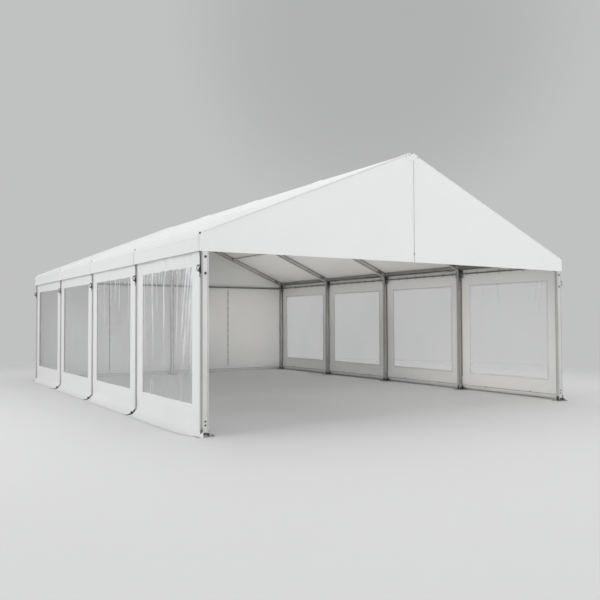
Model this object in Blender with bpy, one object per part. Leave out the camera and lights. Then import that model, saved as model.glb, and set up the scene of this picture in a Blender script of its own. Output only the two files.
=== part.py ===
"""A marquee tent: five portal frames under a white fabric roof, open at the front.

Metres, +Z up. The origin is on the ground at the middle of the tent. +Y runs from
the open front gable to the closed back gable, and +X to the right for someone who
stands in front of the tent.
"""

import math

import bmesh
import bpy

# Layout of the frames
SPAN = 9.0  # over the outer faces of the posts
BAY = 3.0  # from one frame to the next
BAY_COUNT = 4
TOUCH = 0.0003  # gap left between two pieces that touch

# Roof, measured on the top of the covers
RIDGE_HEIGHT = 5.1
SLOPE = 0.413  # fall for each metre from the ridge to the eave
VALANCE_OUT = 0.04  # from the posts' outer faces to the valance
VALANCE_BOTTOM = 2.94
EAVE_RADIUS = 0.12
GABLE_INSET = 0.012  # of the gable covers' edge behind the roof's top
SAG = 0.03  # of a cover between two frames
FABRIC = 0.004  # thickness of the covers and walls

# Extruded profile of posts and rafters, with a keder groove near each edge
PROFILE_DEPTH = 0.13  # across the tent in a post, down in a rafter
PROFILE_WIDTH = 0.07  # along the tent
PROFILE_CHAMFER = 0.003
GROOVE_INSET = 0.014
GROOVE_MOUTH = 0.008
GROOVE_DEPTH = 0.012
RAFTER_CUT = 0.06  # its outer end leans in by this much towards its top

# Feet
PLATE_LENGTH = 0.29
PLATE_WIDTH = 0.21
PLATE_THICKNESS = 0.01
CHEEK_LENGTH = 0.08
CHEEK_HEIGHT = 0.11
CHEEK_THICKNESS = 0.006

# Bars that run from frame to frame: half width and half height of bar and neck
EAVE_PURLIN = (0.03, 0.055)
RIDGE_PURLIN = (0.03, 0.05)
RAIL = (0.015, 0.02)
NECK = (0.012, 0.012)
MIDDLE_PURLIN_RADIUS = 0.024
EAVE_PURLIN_OUT = 4.435  # distance from the ridge line to its outer face
MIDDLE_PURLIN_OUT = 2.35
RAIL_OUT = 4.43
RAIL_HEIGHT = 3.06

# Walls
WALL_OUT = SPAN / 2 - GROOVE_INSET - GROOVE_MOUTH / 2 + FABRIC / 2
WALL_TOP = 3.09
WINDOW_MARGIN = 0.35  # from a frame's centre to the window
WINDOW_BOTTOM = 0.48
WINDOW_TOP = 2.715
FILM = 0.002
FILM_LAP = 0.04  # the film reaches this far behind the edge of its window
SKIRT_HEIGHT = 0.36
SKIRT_OUT = 0.2  # from the posts' outer faces to the edge of the side skirts
SKIRT_LIP = 0.026  # last stretch, flat on the ground
SKIRT_CLEAR = 0.02  # from a frame's centre to the skirts on both sides of it
SPREAD_OUT = 0.05  # a skirt spreads past the post this far out from the wall
KEDER_BOTTOM = 0.38  # the walls leave the posts' grooves here
REACH = 0.17  # of the skirts beyond the centres of the first and last frames
UPRIGHT_WIDTH = 0.1

COS_PITCH = 1 / math.hypot(1, SLOPE)
FRAME_YS = [(index - BAY_COUNT / 2) * BAY for index in range(BAY_COUNT + 1)]
FRONT_FACE = FRAME_YS[0] - PROFILE_WIDTH / 2
BACK_FACE = FRAME_YS[-1] + PROFILE_WIDTH / 2


def roof_height(x, below=0.0):
    """Height at x of the plane that lies this far below the covers' top."""
    return RIDGE_HEIGHT - SLOPE * abs(x) - below / COS_PITCH


def clear_scene():
    for item in list(bpy.data.objects):
        bpy.data.objects.remove(item, do_unlink=True)


def make_material(name, colour, roughness, metallic=0.0, alpha=1.0):
    material = bpy.data.materials.new(name)
    material.use_nodes = True
    shader = material.node_tree.nodes["Principled BSDF"]
    shader.inputs["Base Color"].default_value = (*colour, 1.0)
    shader.inputs["Roughness"].default_value = roughness
    shader.inputs["Metallic"].default_value = metallic
    shader.inputs["Alpha"].default_value = alpha
    return material


def add_object(name, mesh, material):
    """An object in the scene that shows the mesh in the material."""
    item = bpy.data.objects.new(name, mesh)
    bpy.context.collection.objects.link(item)
    if not mesh.materials:
        mesh.materials.append(material)
    return item


def finish_mesh(name, shape):
    """The bmesh as a mesh whose faces point out."""
    bmesh.ops.recalc_face_normals(shape, faces=shape.faces)
    mesh = bpy.data.meshes.new(name)
    shape.to_mesh(mesh)
    shape.free()
    return mesh


def loft(name, rings):
    """A closed solid through rings of points, with flat ends."""
    shape = bmesh.new()
    loops = [[shape.verts.new(point) for point in ring] for ring in rings]
    count = len(loops[0])
    for first, second in zip(loops, loops[1:]):
        for index in range(count):
            after = (index + 1) % count
            shape.faces.new((first[index], first[after], second[after], second[index]))
    shape.faces.new(loops[0])
    shape.faces.new(loops[-1])
    return finish_mesh(name, shape)


def box(name, low, high):
    """A box between two opposite corners."""
    corners = [(low[0], low[1]), (high[0], low[1]), (high[0], high[1]), (low[0], high[1])]
    return loft(name, [[(x, y, z) for x, y in corners] for z in (low[2], high[2])])


def combine(mesh, pieces, operation):
    """The mesh after a Boolean with each piece in turn."""
    whole = bpy.data.objects.new("whole", mesh)
    bpy.context.collection.objects.link(whole)
    tools = []
    for piece in pieces:
        tool = bpy.data.objects.new("tool", piece)
        bpy.context.collection.objects.link(tool)
        modifier = whole.modifiers.new("combine", "BOOLEAN")
        modifier.operation = operation
        modifier.object = tool
        tools.append(tool)
    evaluated = whole.evaluated_get(bpy.context.evaluated_depsgraph_get())
    result = bpy.data.meshes.new_from_object(evaluated)
    for item in [whole, *tools]:
        bpy.data.objects.remove(item, do_unlink=True)
    return result


def sheet(name, rows, material, thickness, window=None):
    """A sheet through rows of points, made thicker on its back.

    Its face looks along the cross product of the way from row to row and the way
    along a row. The window is the one cell of the grid that stays open.
    """
    shape = bmesh.new()
    grid = [[shape.verts.new(point) for point in row] for row in rows]
    for i in range(len(grid) - 1):
        for j in range(len(grid[i]) - 1):
            if (i, j) == window:
                continue
            shape.faces.new((grid[i][j], grid[i + 1][j], grid[i + 1][j + 1], grid[i][j + 1]))
    mesh = bpy.data.meshes.new(name)
    shape.to_mesh(mesh)
    shape.free()
    item = add_object(name, mesh, material)
    solidify = item.modifiers.new("thickness", "SOLIDIFY")
    solidify.thickness = thickness
    solidify.offset = -1
    solidify.use_even_offset = True
    return item


def profile_section(depth, width):
    """Outline of the extrusion: depth from 0 inwards, width to both sides of 0."""
    groove_end = GROOVE_INSET + GROOVE_MOUTH
    steps = [(0, PROFILE_CHAMFER), (PROFILE_CHAMFER, 0)]
    steps += [(GROOVE_INSET, 0), (GROOVE_INSET, GROOVE_DEPTH)]
    steps += [(groove_end, GROOVE_DEPTH), (groove_end, 0)]
    side = steps + [(depth - down, inward) for down, inward in reversed(steps)]
    upper = [(down, width / 2 - inward) for down, inward in side]
    lower = [(down, -across) for down, across in reversed(upper)]
    return upper + lower


def rectangle(half_width, half_height):
    """Corners of a rectangle about the origin."""
    signs = ((-1, -1), (1, -1), (1, 1), (-1, 1))
    return [(half_width * across, half_height * up) for across, up in signs]


def polygon(sides, radius):
    """Corners of a regular polygon about the origin."""
    angles = [math.tau * (index + 0.5) / sides for index in range(sides)]
    return [(radius * math.cos(angle), radius * math.sin(angle)) for angle in angles]


def grown(outline, extra):
    """The outline with every corner moved out by extra in both directions."""
    return [
        (across + math.copysign(extra, across), up + math.copysign(extra, up))
        for across, up in outline
    ]


def along_tent(outline, x, z, y_positions):
    """The outline about (x, z), repeated at each place along the tent."""
    return [[(x + across, y, z + up) for across, up in outline] for y in y_positions]


def foot(x_centre):
    """Base plate and the two cheeks of its bracket, about a post's centre line."""
    plate = box(
        "plate",
        (x_centre - PLATE_LENGTH / 2, -PLATE_WIDTH / 2, 0),
        (x_centre + PLATE_LENGTH / 2, PLATE_WIDTH / 2, PLATE_THICKNESS),
    )
    cheeks = []
    for side in (-1, 1):
        near = side * (PROFILE_WIDTH / 2 - PROFILE_CHAMFER)
        far = side * (PROFILE_WIDTH / 2 + CHEEK_THICKNESS)
        low = (x_centre - CHEEK_LENGTH / 2, min(near, far), PLATE_THICKNESS / 2)
        high = (x_centre + CHEEK_LENGTH / 2, max(near, far), CHEEK_HEIGHT)
        cheeks.append(box("cheek", low, high))
    return [plate, *cheeks]


def post_mesh():
    """A right-hand post at y = 0, cut to the rafter at its top."""
    outer = SPAN / 2
    under_rafter = FABRIC + TOUCH + PROFILE_DEPTH + TOUCH
    section = [(outer - down, across) for down, across in profile_section(PROFILE_DEPTH, PROFILE_WIDTH)]
    bottom = [(x, y, PLATE_THICKNESS / 2) for x, y in section]
    top = [(x, y, roof_height(x, under_rafter)) for x, y in section]
    post = combine(loft("post", [bottom, top]), foot(outer - PROFILE_DEPTH / 2), "UNION")
    reach = (-PROFILE_WIDTH, PROFILE_WIDTH)
    rail_hole = loft("hole", along_tent(grown(rectangle(*NECK), TOUCH), RAIL_OUT, RAIL_HEIGHT, reach))
    return combine(post, [rail_hole], "DIFFERENCE")


def rafter_mesh():
    """A right-hand rafter at y = 0, from the ridge to the outer face of its post."""
    section = profile_section(PROFILE_DEPTH, PROFILE_WIDTH)
    rings = []
    for end, cut in ((TOUCH / 2, 0), (SPAN / 2, RAFTER_CUT)):
        ring = []
        for down, y in section:
            x = end - cut * (1 - down / PROFILE_DEPTH)
            ring.append((x, y, roof_height(x, FABRIC + TOUCH + down)))
        rings.append(ring)
    reach = (-PROFILE_WIDTH, PROFILE_WIDTH)
    holes = []
    for x, z in (ridge_purlin_place(), middle_purlin_place(), eave_purlin_place()):
        hole = along_tent(grown(rectangle(*NECK), TOUCH), x, z, reach)
        holes.append(loft("hole", hole))
    return combine(loft("rafter", rings), holes, "DIFFERENCE")


def ridge_purlin_place():
    half_width, half_height = RIDGE_PURLIN
    return 0.0, roof_height(half_width, FABRIC + TOUCH) - half_height


def middle_purlin_place():
    """The tube touches the cover where it sags most."""
    below = FABRIC + TOUCH + MIDDLE_PURLIN_RADIUS
    return MIDDLE_PURLIN_OUT, roof_height(MIDDLE_PURLIN_OUT, below) - SAG


def eave_purlin_place():
    half_width, half_height = EAVE_PURLIN
    top = roof_height(EAVE_PURLIN_OUT, FABRIC + TOUCH)
    return EAVE_PURLIN_OUT - half_width, top - half_height


def bar_stations(start, end, supports):
    """Places along a bar, and whether it is narrow there, from start to end."""
    stations = []
    place = start
    for low, high in supports:
        if low - TOUCH > place:
            stations += [(place, False), (low - TOUCH, False)]
        stations += [(max(low - TOUCH, start), True), (min(high + TOUCH, end), True)]
        place = min(high + TOUCH, end)
    if place < end:
        stations += [(place, False), (end, False)]
    return stations


def purlin_line(name, x, z, bar, neck, material):
    """Bars between all frames, joined by necks that pass through the frames."""
    half = PROFILE_WIDTH / 2
    supports = [(y - half, y + half) for y in FRAME_YS]
    rings = []
    for y, narrow in bar_stations(FRONT_FACE, BACK_FACE, supports):
        outline = neck if narrow else bar
        rings += along_tent(outline, x, z, [y])
    add_object(name, loft(name, rings), material)


def add_frames(aluminium):
    """Posts and rafters; the left ones are the right ones turned half round."""
    meshes = {"post": post_mesh(), "rafter": rafter_mesh()}
    for kind, mesh in meshes.items():
        for side, turn in (("right", 0.0), ("left", math.pi)):
            for number, y in enumerate(FRAME_YS, start=1):
                item = add_object(f"{kind}_{side}_{number}", mesh, aluminium)
                item.location = (0, y, 0)
                item.rotation_euler = (0, 0, turn)


def add_bars(aluminium):
    square_neck = rectangle(*NECK)
    x, z = ridge_purlin_place()
    purlin_line("ridge_purlin", x, z, rectangle(*RIDGE_PURLIN), square_neck, aluminium)
    round_neck = polygon(8, NECK[0])
    tube = polygon(8, MIDDLE_PURLIN_RADIUS)
    for side, sign in (("left", -1), ("right", 1)):
        x, z = eave_purlin_place()
        purlin_line(f"eave_purlin_{side}", sign * x, z, rectangle(*EAVE_PURLIN), square_neck, aluminium)
        x, z = middle_purlin_place()
        purlin_line(f"middle_purlin_{side}", sign * x, z, tube, round_neck, aluminium)
        x, z = RAIL_OUT, RAIL_HEIGHT
        purlin_line(f"wall_rail_{side}", sign * x, z, rectangle(*RAIL), square_neck, aluminium)


def add_back_gable_frame(aluminium):
    """Upright in the middle of the back gable, and the rail through it."""
    y_centre = FRAME_YS[-1]
    half = UPRIGHT_WIDTH / 2
    top = roof_height(half, FABRIC + TOUCH + PROFILE_DEPTH + TOUCH)
    section = [(down - half, across) for down, across in profile_section(UPRIGHT_WIDTH, PROFILE_WIDTH)]
    body = loft("upright", [[(x, y, z) for x, y in section] for z in (PLATE_THICKNESS / 2, top)])
    body = combine(body, foot(0), "UNION")
    hole_outline = grown(rectangle(*NECK), TOUCH)
    hole = [[(x, y, RAIL_HEIGHT + z) for y, z in hole_outline] for x in (-UPRIGHT_WIDTH, UPRIGHT_WIDTH)]
    body = combine(body, [loft("hole", hole)], "DIFFERENCE")
    add_object("gable_upright", body, aluminium).location.y = y_centre

    end = SPAN / 2 - PROFILE_DEPTH - TOUCH
    rings = []
    for x, narrow in bar_stations(-end, end, [(-half, half)]):
        outline = rectangle(*NECK) if narrow else rectangle(*RAIL)
        rings.append([(x, y_centre + y, RAIL_HEIGHT + z) for y, z in outline])
    add_object("gable_rail", loft("gable_rail", rings), aluminium)


def eave_outline(inset=0.0):
    """The hem of the valance and the round eave above it, set in from the covers' top."""
    centre_x = SPAN / 2 + VALANCE_OUT - EAVE_RADIUS
    centre_z = roof_height(centre_x, EAVE_RADIUS)
    radius = EAVE_RADIUS - inset
    turn = math.pi / 2 - math.atan(SLOPE)
    outline = [(centre_x + radius, VALANCE_BOTTOM)]
    steps = 4
    for step in range(steps + 1):
        angle = turn * step / steps
        outline.append((centre_x + radius * math.cos(angle), centre_z + radius * math.sin(angle)))
    return outline


def roof_outline():
    """Half of a cover's outer outline, from the hem of the valance to the ridge."""
    outline = eave_outline()
    start, end = sagging_stretch()
    steps = 5
    for step in range(steps + 1):
        x = start + (end - start) * step / steps
        outline.append((x, roof_height(x)))
    return outline


def sagging_stretch():
    """Where a cover hangs free: from the eave purlin to the ridge purlin."""
    return EAVE_PURLIN_OUT - 2 * EAVE_PURLIN[0], RIDGE_PURLIN[0]


def cover_sag(x, share):
    """Drop of a cover at x; share runs from -1 to 1 between the two frames."""
    start, end = sagging_stretch()
    across = (start - abs(x)) / (start - end)
    if not 0 < across < 1 or abs(share) >= 1:
        return 0.0
    return SAG * math.sin(math.pi * across) * (1 - share * share)


def add_roof_covers(fabric):
    """One cover to a bay, from valance to valance."""
    half = roof_outline()
    outline = [(-x, z) for x, z in half] + [(0, RIDGE_HEIGHT)] + half[::-1]
    half_bay = BAY / 2 - PROFILE_WIDTH / 2
    for bay in range(BAY_COUNT):
        middle = (FRAME_YS[bay] + FRAME_YS[bay + 1]) / 2
        start = FRONT_FACE if bay == 0 else FRAME_YS[bay] + TOUCH
        end = BACK_FACE if bay == BAY_COUNT - 1 else FRAME_YS[bay + 1] - TOUCH
        shares = (-1, -0.5, 0, 0.5, 1)
        stations = [(start, -1)] + [(middle + share * half_bay, share) for share in shares]
        stations.append((end, 1))
        rows = []
        for x, z in outline:
            rows.append([(x, y, z - cover_sag(x, share)) for y, share in stations])
        sheet(f"roof_cover_{bay + 1}", rows, fabric, FABRIC)


def add_gable_covers(fabric):
    """Flat covers over both gable ends, down to the level of the valances."""
    half = eave_outline(GABLE_INSET)
    outline = half + [(0, roof_height(0, GABLE_INSET))] + [(-x, z) for x, z in reversed(half)]
    front = FRONT_FACE - TOUCH
    back = BACK_FACE + TOUCH + FABRIC + TOUCH
    for name, near, far in (("front", front, front - FABRIC), ("back", back, back + FABRIC)):
        rings = [[(x, y, z) for x, z in outline] for y in (near, far)]
        add_object(f"gable_cover_{name}", loft(name, rings), fabric)


def skirt_outline(reach):
    """How far out and how high a skirt is, from its edge up to the plain wall."""
    curve = reach - SKIRT_LIP
    outline = [(reach, FABRIC)]
    steps = 6
    for step in range(steps, -1, -1):
        angle = math.pi / 2 * step / steps
        outward = curve * (1 - math.cos(angle))
        outline.append((outward, FABRIC + (SKIRT_HEIGHT - FABRIC) * (1 - math.sin(angle))))
    return outline


def wall_edge(y_frame, inward, outward, z, last):
    """Where a side wall ends beside a frame, for a row this far outward at z.

    It sits in the post's groove above the skirt, passes beside the post at the top
    of the skirt, and spreads past the post once it is clear of its outer face.
    """
    if z > SKIRT_HEIGHT:
        return y_frame + inward * (PROFILE_WIDTH / 2 - GROOVE_DEPTH + TOUCH)
    if outward < SPREAD_OUT:
        return y_frame + inward * (PROFILE_WIDTH / 2 + TOUCH)
    if last:
        return y_frame - inward * REACH
    return y_frame + inward * SKIRT_CLEAR


def add_side_walls(fabric, film):
    """A wall panel in every bay of both sides, and the clear film of its window."""
    reach = SPAN / 2 + SKIRT_OUT - WALL_OUT
    outline = skirt_outline(reach) + [(0, KEDER_BOTTOM)]
    window_row = len(outline)
    outline += [(0, WINDOW_BOTTOM), (0, WINDOW_TOP), (0, WALL_TOP)]
    for side, sign in (("left", -1), ("right", 1)):
        for bay in range(BAY_COUNT):
            first, second = FRAME_YS[bay], FRAME_YS[bay + 1]
            rows = []
            for outward, z in outline:
                near = wall_edge(first, 1, outward, z, bay == 0)
                far = wall_edge(second, -1, outward, z, bay == BAY_COUNT - 1)
                ys = (near, first + WINDOW_MARGIN, second - WINDOW_MARGIN, far)
                rows.append([(sign * (WALL_OUT + outward), y, z) for y in ys[::-sign]])
            name = f"side_wall_{side}_{bay + 1}"
            sheet(name, rows, fabric, FABRIC, window=(window_row, 1))
            add_film(f"window_film_{side}_{bay + 1}", sign, first, second, film)


def add_film(name, sign, first, second, film):
    """The clear film, on the inner face of the wall around its window."""
    outer = WALL_OUT - FABRIC - TOUCH
    near = first + WINDOW_MARGIN - FILM_LAP
    far = second - WINDOW_MARGIN + FILM_LAP
    xs = sorted((sign * outer, sign * (outer - FILM)))
    mesh = box(name, (xs[0], near, WINDOW_BOTTOM - FILM_LAP), (xs[1], far, WINDOW_TOP + FILM_LAP))
    add_object(name, mesh, film)


def add_back_wall(fabric):
    """Two halves that meet behind the upright, outside the posts' back faces."""
    face = BACK_FACE + TOUCH + FABRIC
    outline = skirt_outline(FRAME_YS[-1] + REACH - face) + [(0, WALL_TOP)]
    for side, low, high in (("left", -SPAN / 2, -TOUCH / 2), ("right", TOUCH / 2, SPAN / 2)):
        rows = [[(x, face + outward, z) for x in (low, high)] for outward, z in outline]
        sheet(f"back_wall_{side}", rows, fabric, FABRIC)


def main():
    clear_scene()
    aluminium = make_material("aluminium", (0.55, 0.55, 0.53), 0.45, metallic=0.9)
    fabric = make_material("white_fabric", (0.86, 0.86, 0.86), 0.45)
    film = make_material("window_film", (0.8, 0.82, 0.82), 0.1, alpha=0.35)
    add_frames(aluminium)
    add_bars(aluminium)
    add_back_gable_frame(aluminium)
    add_roof_covers(fabric)
    add_gable_covers(fabric)
    add_side_walls(fabric, film)
    add_back_wall(fabric)


main()
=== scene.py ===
"""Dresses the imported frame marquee: fabric, windows, bars, fittings, light and camera.

Metres, +Z up, in the frame of the CAD model. The origin is on the ground at the
middle of the tent, +Y runs from the open front gable to the closed back gable, and
+X to the right for someone who stands in front of it.
"""

import bisect
import logging
import math
from collections.abc import Callable, Iterable, Sequence
from dataclasses import dataclass, field
from enum import Enum
from functools import cached_property

import bmesh
import bpy
from mathutils import Matrix, Vector, noise


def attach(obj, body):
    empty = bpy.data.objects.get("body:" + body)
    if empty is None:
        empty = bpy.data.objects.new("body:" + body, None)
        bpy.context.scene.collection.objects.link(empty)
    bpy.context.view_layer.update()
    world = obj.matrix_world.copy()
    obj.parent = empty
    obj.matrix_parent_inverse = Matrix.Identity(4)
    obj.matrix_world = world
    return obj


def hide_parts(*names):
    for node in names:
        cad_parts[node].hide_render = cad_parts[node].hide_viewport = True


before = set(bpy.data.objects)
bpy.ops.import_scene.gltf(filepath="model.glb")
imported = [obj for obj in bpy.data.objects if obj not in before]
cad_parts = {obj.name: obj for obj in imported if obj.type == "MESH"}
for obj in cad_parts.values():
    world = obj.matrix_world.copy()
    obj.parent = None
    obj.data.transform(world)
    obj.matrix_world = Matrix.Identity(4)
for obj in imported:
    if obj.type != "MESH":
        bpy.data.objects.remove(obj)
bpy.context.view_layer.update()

LOG = logging.getLogger("marquee")
AHEAD, UP, DOWN = (0, 1, 0), (0, 0, 1), (0, 0, -1)
Point = Sequence[float]
Colour = tuple[float, float, float]
Opening = tuple[float, float, float, float]


class Half(Enum):
    """One of two halves of the tent."""

    @property
    def label(self) -> str:
        """Its name, as the CAD's nodes have it."""
        return self.name.lower()


class Side(Half):
    """A long side of the tent, by the sign of its X."""

    LEFT = -1
    RIGHT = 1


class End(Half):
    """A gable end of the tent, by the sign of its Y."""

    FRONT = -1
    BACK = 1


class Slot(Enum):
    """The record's material slots."""

    ALUMINIUM = "aluminium"
    FABRIC = "white_fabric"
    FILM = "window_film"
    STEEL = "galvanised_steel"
    WEBBING = "dark_webbing"
    RUBBER = "black_rubber"


@dataclass(frozen=True)
class Plan:
    """Sizes that several sub-assemblies share, the same as in the CAD model."""

    span: float = 9.0
    bay: float = 3.0
    frame_ys: tuple[float, ...] = (-6.0, -3.0, 0.0, 3.0, 6.0)
    touch: float = 0.0003
    fabric: float = 0.004
    profile_depth: float = 0.13
    profile_width: float = 0.07
    ridge_height: float = 5.1
    ridge_drop: float = 0.016
    ridge_dent: float = 0.035
    slope: float = 0.413
    valance_out: float = 4.54
    valance_bottom: float = 2.94
    eave_radius: float = 0.12
    sag: float = 0.03
    sag_start: float = 4.375
    sag_end: float = 0.03
    wall_out: float = 4.484
    wall_top: float = 3.09
    rail_height: float = 3.06
    rail_out: float = 4.43

    @property
    def bays(self) -> list[tuple[float, float]]:
        """Y of the two frames of each bay."""
        return list(zip(self.frame_ys, self.frame_ys[1:]))

    @property
    def pitch_length(self) -> float:
        """Length along the slope for one metre across."""
        return math.hypot(1, self.slope)

    @property
    def front_face(self) -> float:
        """Y of the first frame's front face."""
        return self.frame_ys[0] - self.profile_width / 2

    @property
    def back_face(self) -> float:
        """Y of the last frame's back face."""
        return self.frame_ys[-1] + self.profile_width / 2

    @property
    def post_middle(self) -> float:
        """How far out the middle of the posts is."""
        return (self.span - self.profile_depth) / 2

    @property
    def eave_centre(self) -> float:
        """How far out the middle of the round eave is."""
        return self.valance_out - self.eave_radius

    @property
    def eave_height(self) -> float:
        """Height of the middle of the round eave."""
        return self.roof_height(self.eave_centre, self.eave_radius)

    @property
    def eave_bar_top(self) -> float:
        """Height of the eave purlins, which touch the covers over the posts."""
        return self.roof_height(self.post_middle, self.fabric + self.touch)

    def roof_height(self, x: float, below: float = 0.0) -> float:
        """Height at x of the plane this far below the top of the covers."""
        return self.ridge_height - self.slope * abs(x) - below * self.pitch_length

    def dent(self, x: float) -> float:
        """How far the covers dip at x, over the ridge."""
        return self.ridge_drop * math.exp(-((x / self.ridge_dent) ** 2))


def smoothstep(low: float, high: float, value: float) -> float:
    """Share from 0 at low to 1 at high, with level ends.

    Args:
        low: Where the share is 0.
        high: Where the share is 1.
        value: The place asked for.

    Returns:
        The share at that place.
    """
    share = min(max((value - low) / (high - low), 0.0), 1.0)
    return share * share * (3 - 2 * share)


def ripple(u: float, v: float, seed: float) -> float:
    """Smooth noise from about -1 to 1 over a sheet, the same in each run."""
    return noise.noise(Vector((u, v, seed * 7.31 + 0.37)))


def bump_over(distance: float, half_width: float) -> float:
    """Share of a half-round bead's height at this distance from its middle line."""
    near = abs(distance) / half_width
    return math.sqrt(1 - near * near) if near < 1 else 0.0


def stations(start: float, *stretches: tuple[float, int]) -> list[float]:
    """Places along a sheet.

    Args:
        start: The first place.
        stretches: Where each stretch ends, and into how many cells it goes.

    Returns:
        The places in order, both ends of each stretch among them.
    """
    places = [start]
    for end, cells in stretches:
        begin = places[-1]
        places += [begin + (end - begin) * (cell + 1) / cells for cell in range(cells)]
    return places


def mirrored(middle: tuple[float, int], *stretches: tuple[float, int]) -> list[float]:
    """Places along a sheet, the same on both sides of 0.

    Args:
        middle: Where the stretch over the middle ends, and all its cells.
        stretches: Where each further stretch ends, and its cells.

    Returns:
        The places in order.
    """
    half = stations(middle[0], *stretches)
    return [-place for place in reversed(half)] + stations(-middle[0], middle)[1:-1] + half


class Wire:
    """An output socket, with arithmetic that adds Math nodes to its graph."""

    def __init__(self, graph: "ShaderGraph", socket: bpy.types.NodeSocket) -> None:
        """Wraps one output of a node in the graph."""
        self.graph = graph
        self.socket = socket

    def _math(self, operation: str, *values: "Wire | float") -> "Wire":
        """A Math node on these values."""
        sockets = dict(enumerate(values))
        return self.graph.wire(self.graph.node("ShaderNodeMath", {"operation": operation}, sockets))

    def __add__(self, other: "Wire | float") -> "Wire":
        """Sum."""
        return self._math("ADD", self, other)

    def __mul__(self, other: "Wire | float") -> "Wire":
        """Product."""
        return self._math("MULTIPLY", self, other)

    __rmul__ = __mul__

    def __sub__(self, other: "Wire | float") -> "Wire":
        """Difference."""
        return self._math("SUBTRACT", self, other)

    def __rsub__(self, other: float) -> "Wire":
        """Difference from a number."""
        return self._math("SUBTRACT", other, self)

    def __truediv__(self, other: "Wire | float") -> "Wire":
        """Quotient."""
        return self._math("DIVIDE", self, other)

    def __pow__(self, power: float) -> "Wire":
        """Power."""
        return self._math("POWER", self, power)

    def __abs__(self) -> "Wire":
        """Value without its sign."""
        return self._math("ABSOLUTE", self)

    def sine(self) -> "Wire":
        """Sine of an angle in radians."""
        return self._math("SINE", self)

    def least(self, other: "Wire | float") -> "Wire":
        """The smaller of two values."""
        return self._math("MINIMUM", self, other)

    def most(self, other: "Wire | float") -> "Wire":
        """The larger of two values."""
        return self._math("MAXIMUM", self, other)

    def wrapped(self, period: float) -> "Wire":
        """The value folded into a period about 0."""
        return self._math("WRAP", self, period / 2, -period / 2)

    def ramp(self, low: float, high: float, start: float = 0.0, end: float = 1.0) -> "Wire":
        """A smooth change from start, where the value is low, to end, where it is high.

        Args:
            low: Value of this wire at the start.
            high: Value of this wire at the end.
            start: What comes out below low.
            end: What comes out above high.

        Returns:
            The changed value.
        """
        node = self.graph.node(
            "ShaderNodeMapRange",
            {"interpolation_type": "SMOOTHSTEP"},
            {"Value": self, "From Min": low, "From Max": high, "To Min": start, "To Max": end},
        )
        return self.graph.wire(node)

    def line(self, place: float, half_width: float, soft: float) -> "Wire":
        """1 on a band about the place, falling to 0 beside it."""
        return abs(self - place).ramp(half_width, half_width + soft, 1.0, 0.0)


class ShaderGraph:
    """The node tree of one material or of the world."""

    def __init__(self, tree: bpy.types.NodeTree) -> None:
        """Empties the tree, ready for new nodes."""
        self.tree = tree
        tree.nodes.clear()

    @classmethod
    def for_material(cls, name: str) -> tuple["ShaderGraph", bpy.types.Material]:
        """Starts a material.

        Args:
            name: Its name.

        Returns:
            Its graph, and the material.
        """
        material = bpy.data.materials.new(name)
        material.use_nodes = True
        return cls(material.node_tree), material

    def node(
        self,
        kind: str,
        settings: dict[str, object] | None = None,
        sockets: dict[str | int, object] | None = None,
    ) -> bpy.types.Node:
        """Adds a node.

        Args:
            kind: The node's type.
            settings: Its settings, which are set first.
            sockets: Value or link of each input, by name or number.

        Returns:
            The new node.
        """
        made = self.tree.nodes.new(kind)
        for name, value in (settings or {}).items():
            setattr(made, name, value)
        for key, value in (sockets or {}).items():
            if isinstance(value, Wire):
                self.tree.links.new(value.socket, made.inputs[key])
            else:
                made.inputs[key].default_value = value
        return made

    def wire(self, node: bpy.types.Node, output: str | int = 0) -> Wire:
        """One output of a node."""
        return Wire(self, node.outputs[output])

    def place(self, output: str = "Object") -> Wire:
        """The place on the piece, in object coordinates."""
        return self.wire(self.node("ShaderNodeTexCoord"), output)

    def parts(self, vector: Wire) -> tuple[Wire, Wire, Wire]:
        """The three parts of a vector."""
        node = self.node("ShaderNodeSeparateXYZ", None, {0: vector})
        return tuple(self.wire(node, index) for index in range(3))

    def cloth(self) -> Wire:
        """Place on the flat cloth, in metres."""
        return self.wire(self.node("ShaderNodeUVMap", {"uv_map": "cloth"}))

    def scaled(self, vector: Wire, scale: Point) -> Wire:
        """A vector stretched along its axes."""
        node = self.node("ShaderNodeVectorMath", {"operation": "MULTIPLY"}, {0: vector, 1: scale})
        return self.wire(node)

    def clouds(
        self, vector: Wire, scale: float, detail: float = 2.0, roughness: float = 0.5
    ) -> Wire:
        """Noise from 0 to 1.

        Args:
            vector: Where it is read.
            scale: Clouds to a unit of length.
            detail: Finer layers.
            roughness: Weight of the finer layers.

        Returns:
            The noise.
        """
        sockets = {"Vector": vector, "Scale": scale, "Detail": detail, "Roughness": roughness}
        return self.wire(self.node("ShaderNodeTexNoise", None, sockets))

    def mix(self, share: Wire | float, first: Colour | Wire, second: Colour | Wire) -> Wire:
        """Mixes two colours.

        Args:
            share: How much there is of the second one.
            first: The colour where the share is 0.
            second: The colour where it is 1.

        Returns:
            The mixed colour.
        """
        ends = {
            key: value if isinstance(value, Wire) else (*value, 1.0)
            for key, value in ((6, first), (7, second))
        }
        node = self.node("ShaderNodeMix", {"data_type": "RGBA"}, {0: share, **ends})
        return self.wire(node, 2)

    def bump(self, height: Wire) -> Wire:
        """A normal from a height in millimetres."""
        sockets = {"Height": height, "Distance": 0.001, "Strength": 1.0}
        return self.wire(self.node("ShaderNodeBump", None, sockets))

    def surface(self, sockets: dict[str, object]) -> None:
        """A Principled surface with these sockets, linked to the output."""
        shader = self.node("ShaderNodeBsdfPrincipled", None, sockets)
        self.node("ShaderNodeOutputMaterial", None, {0: self.wire(shader)})


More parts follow.
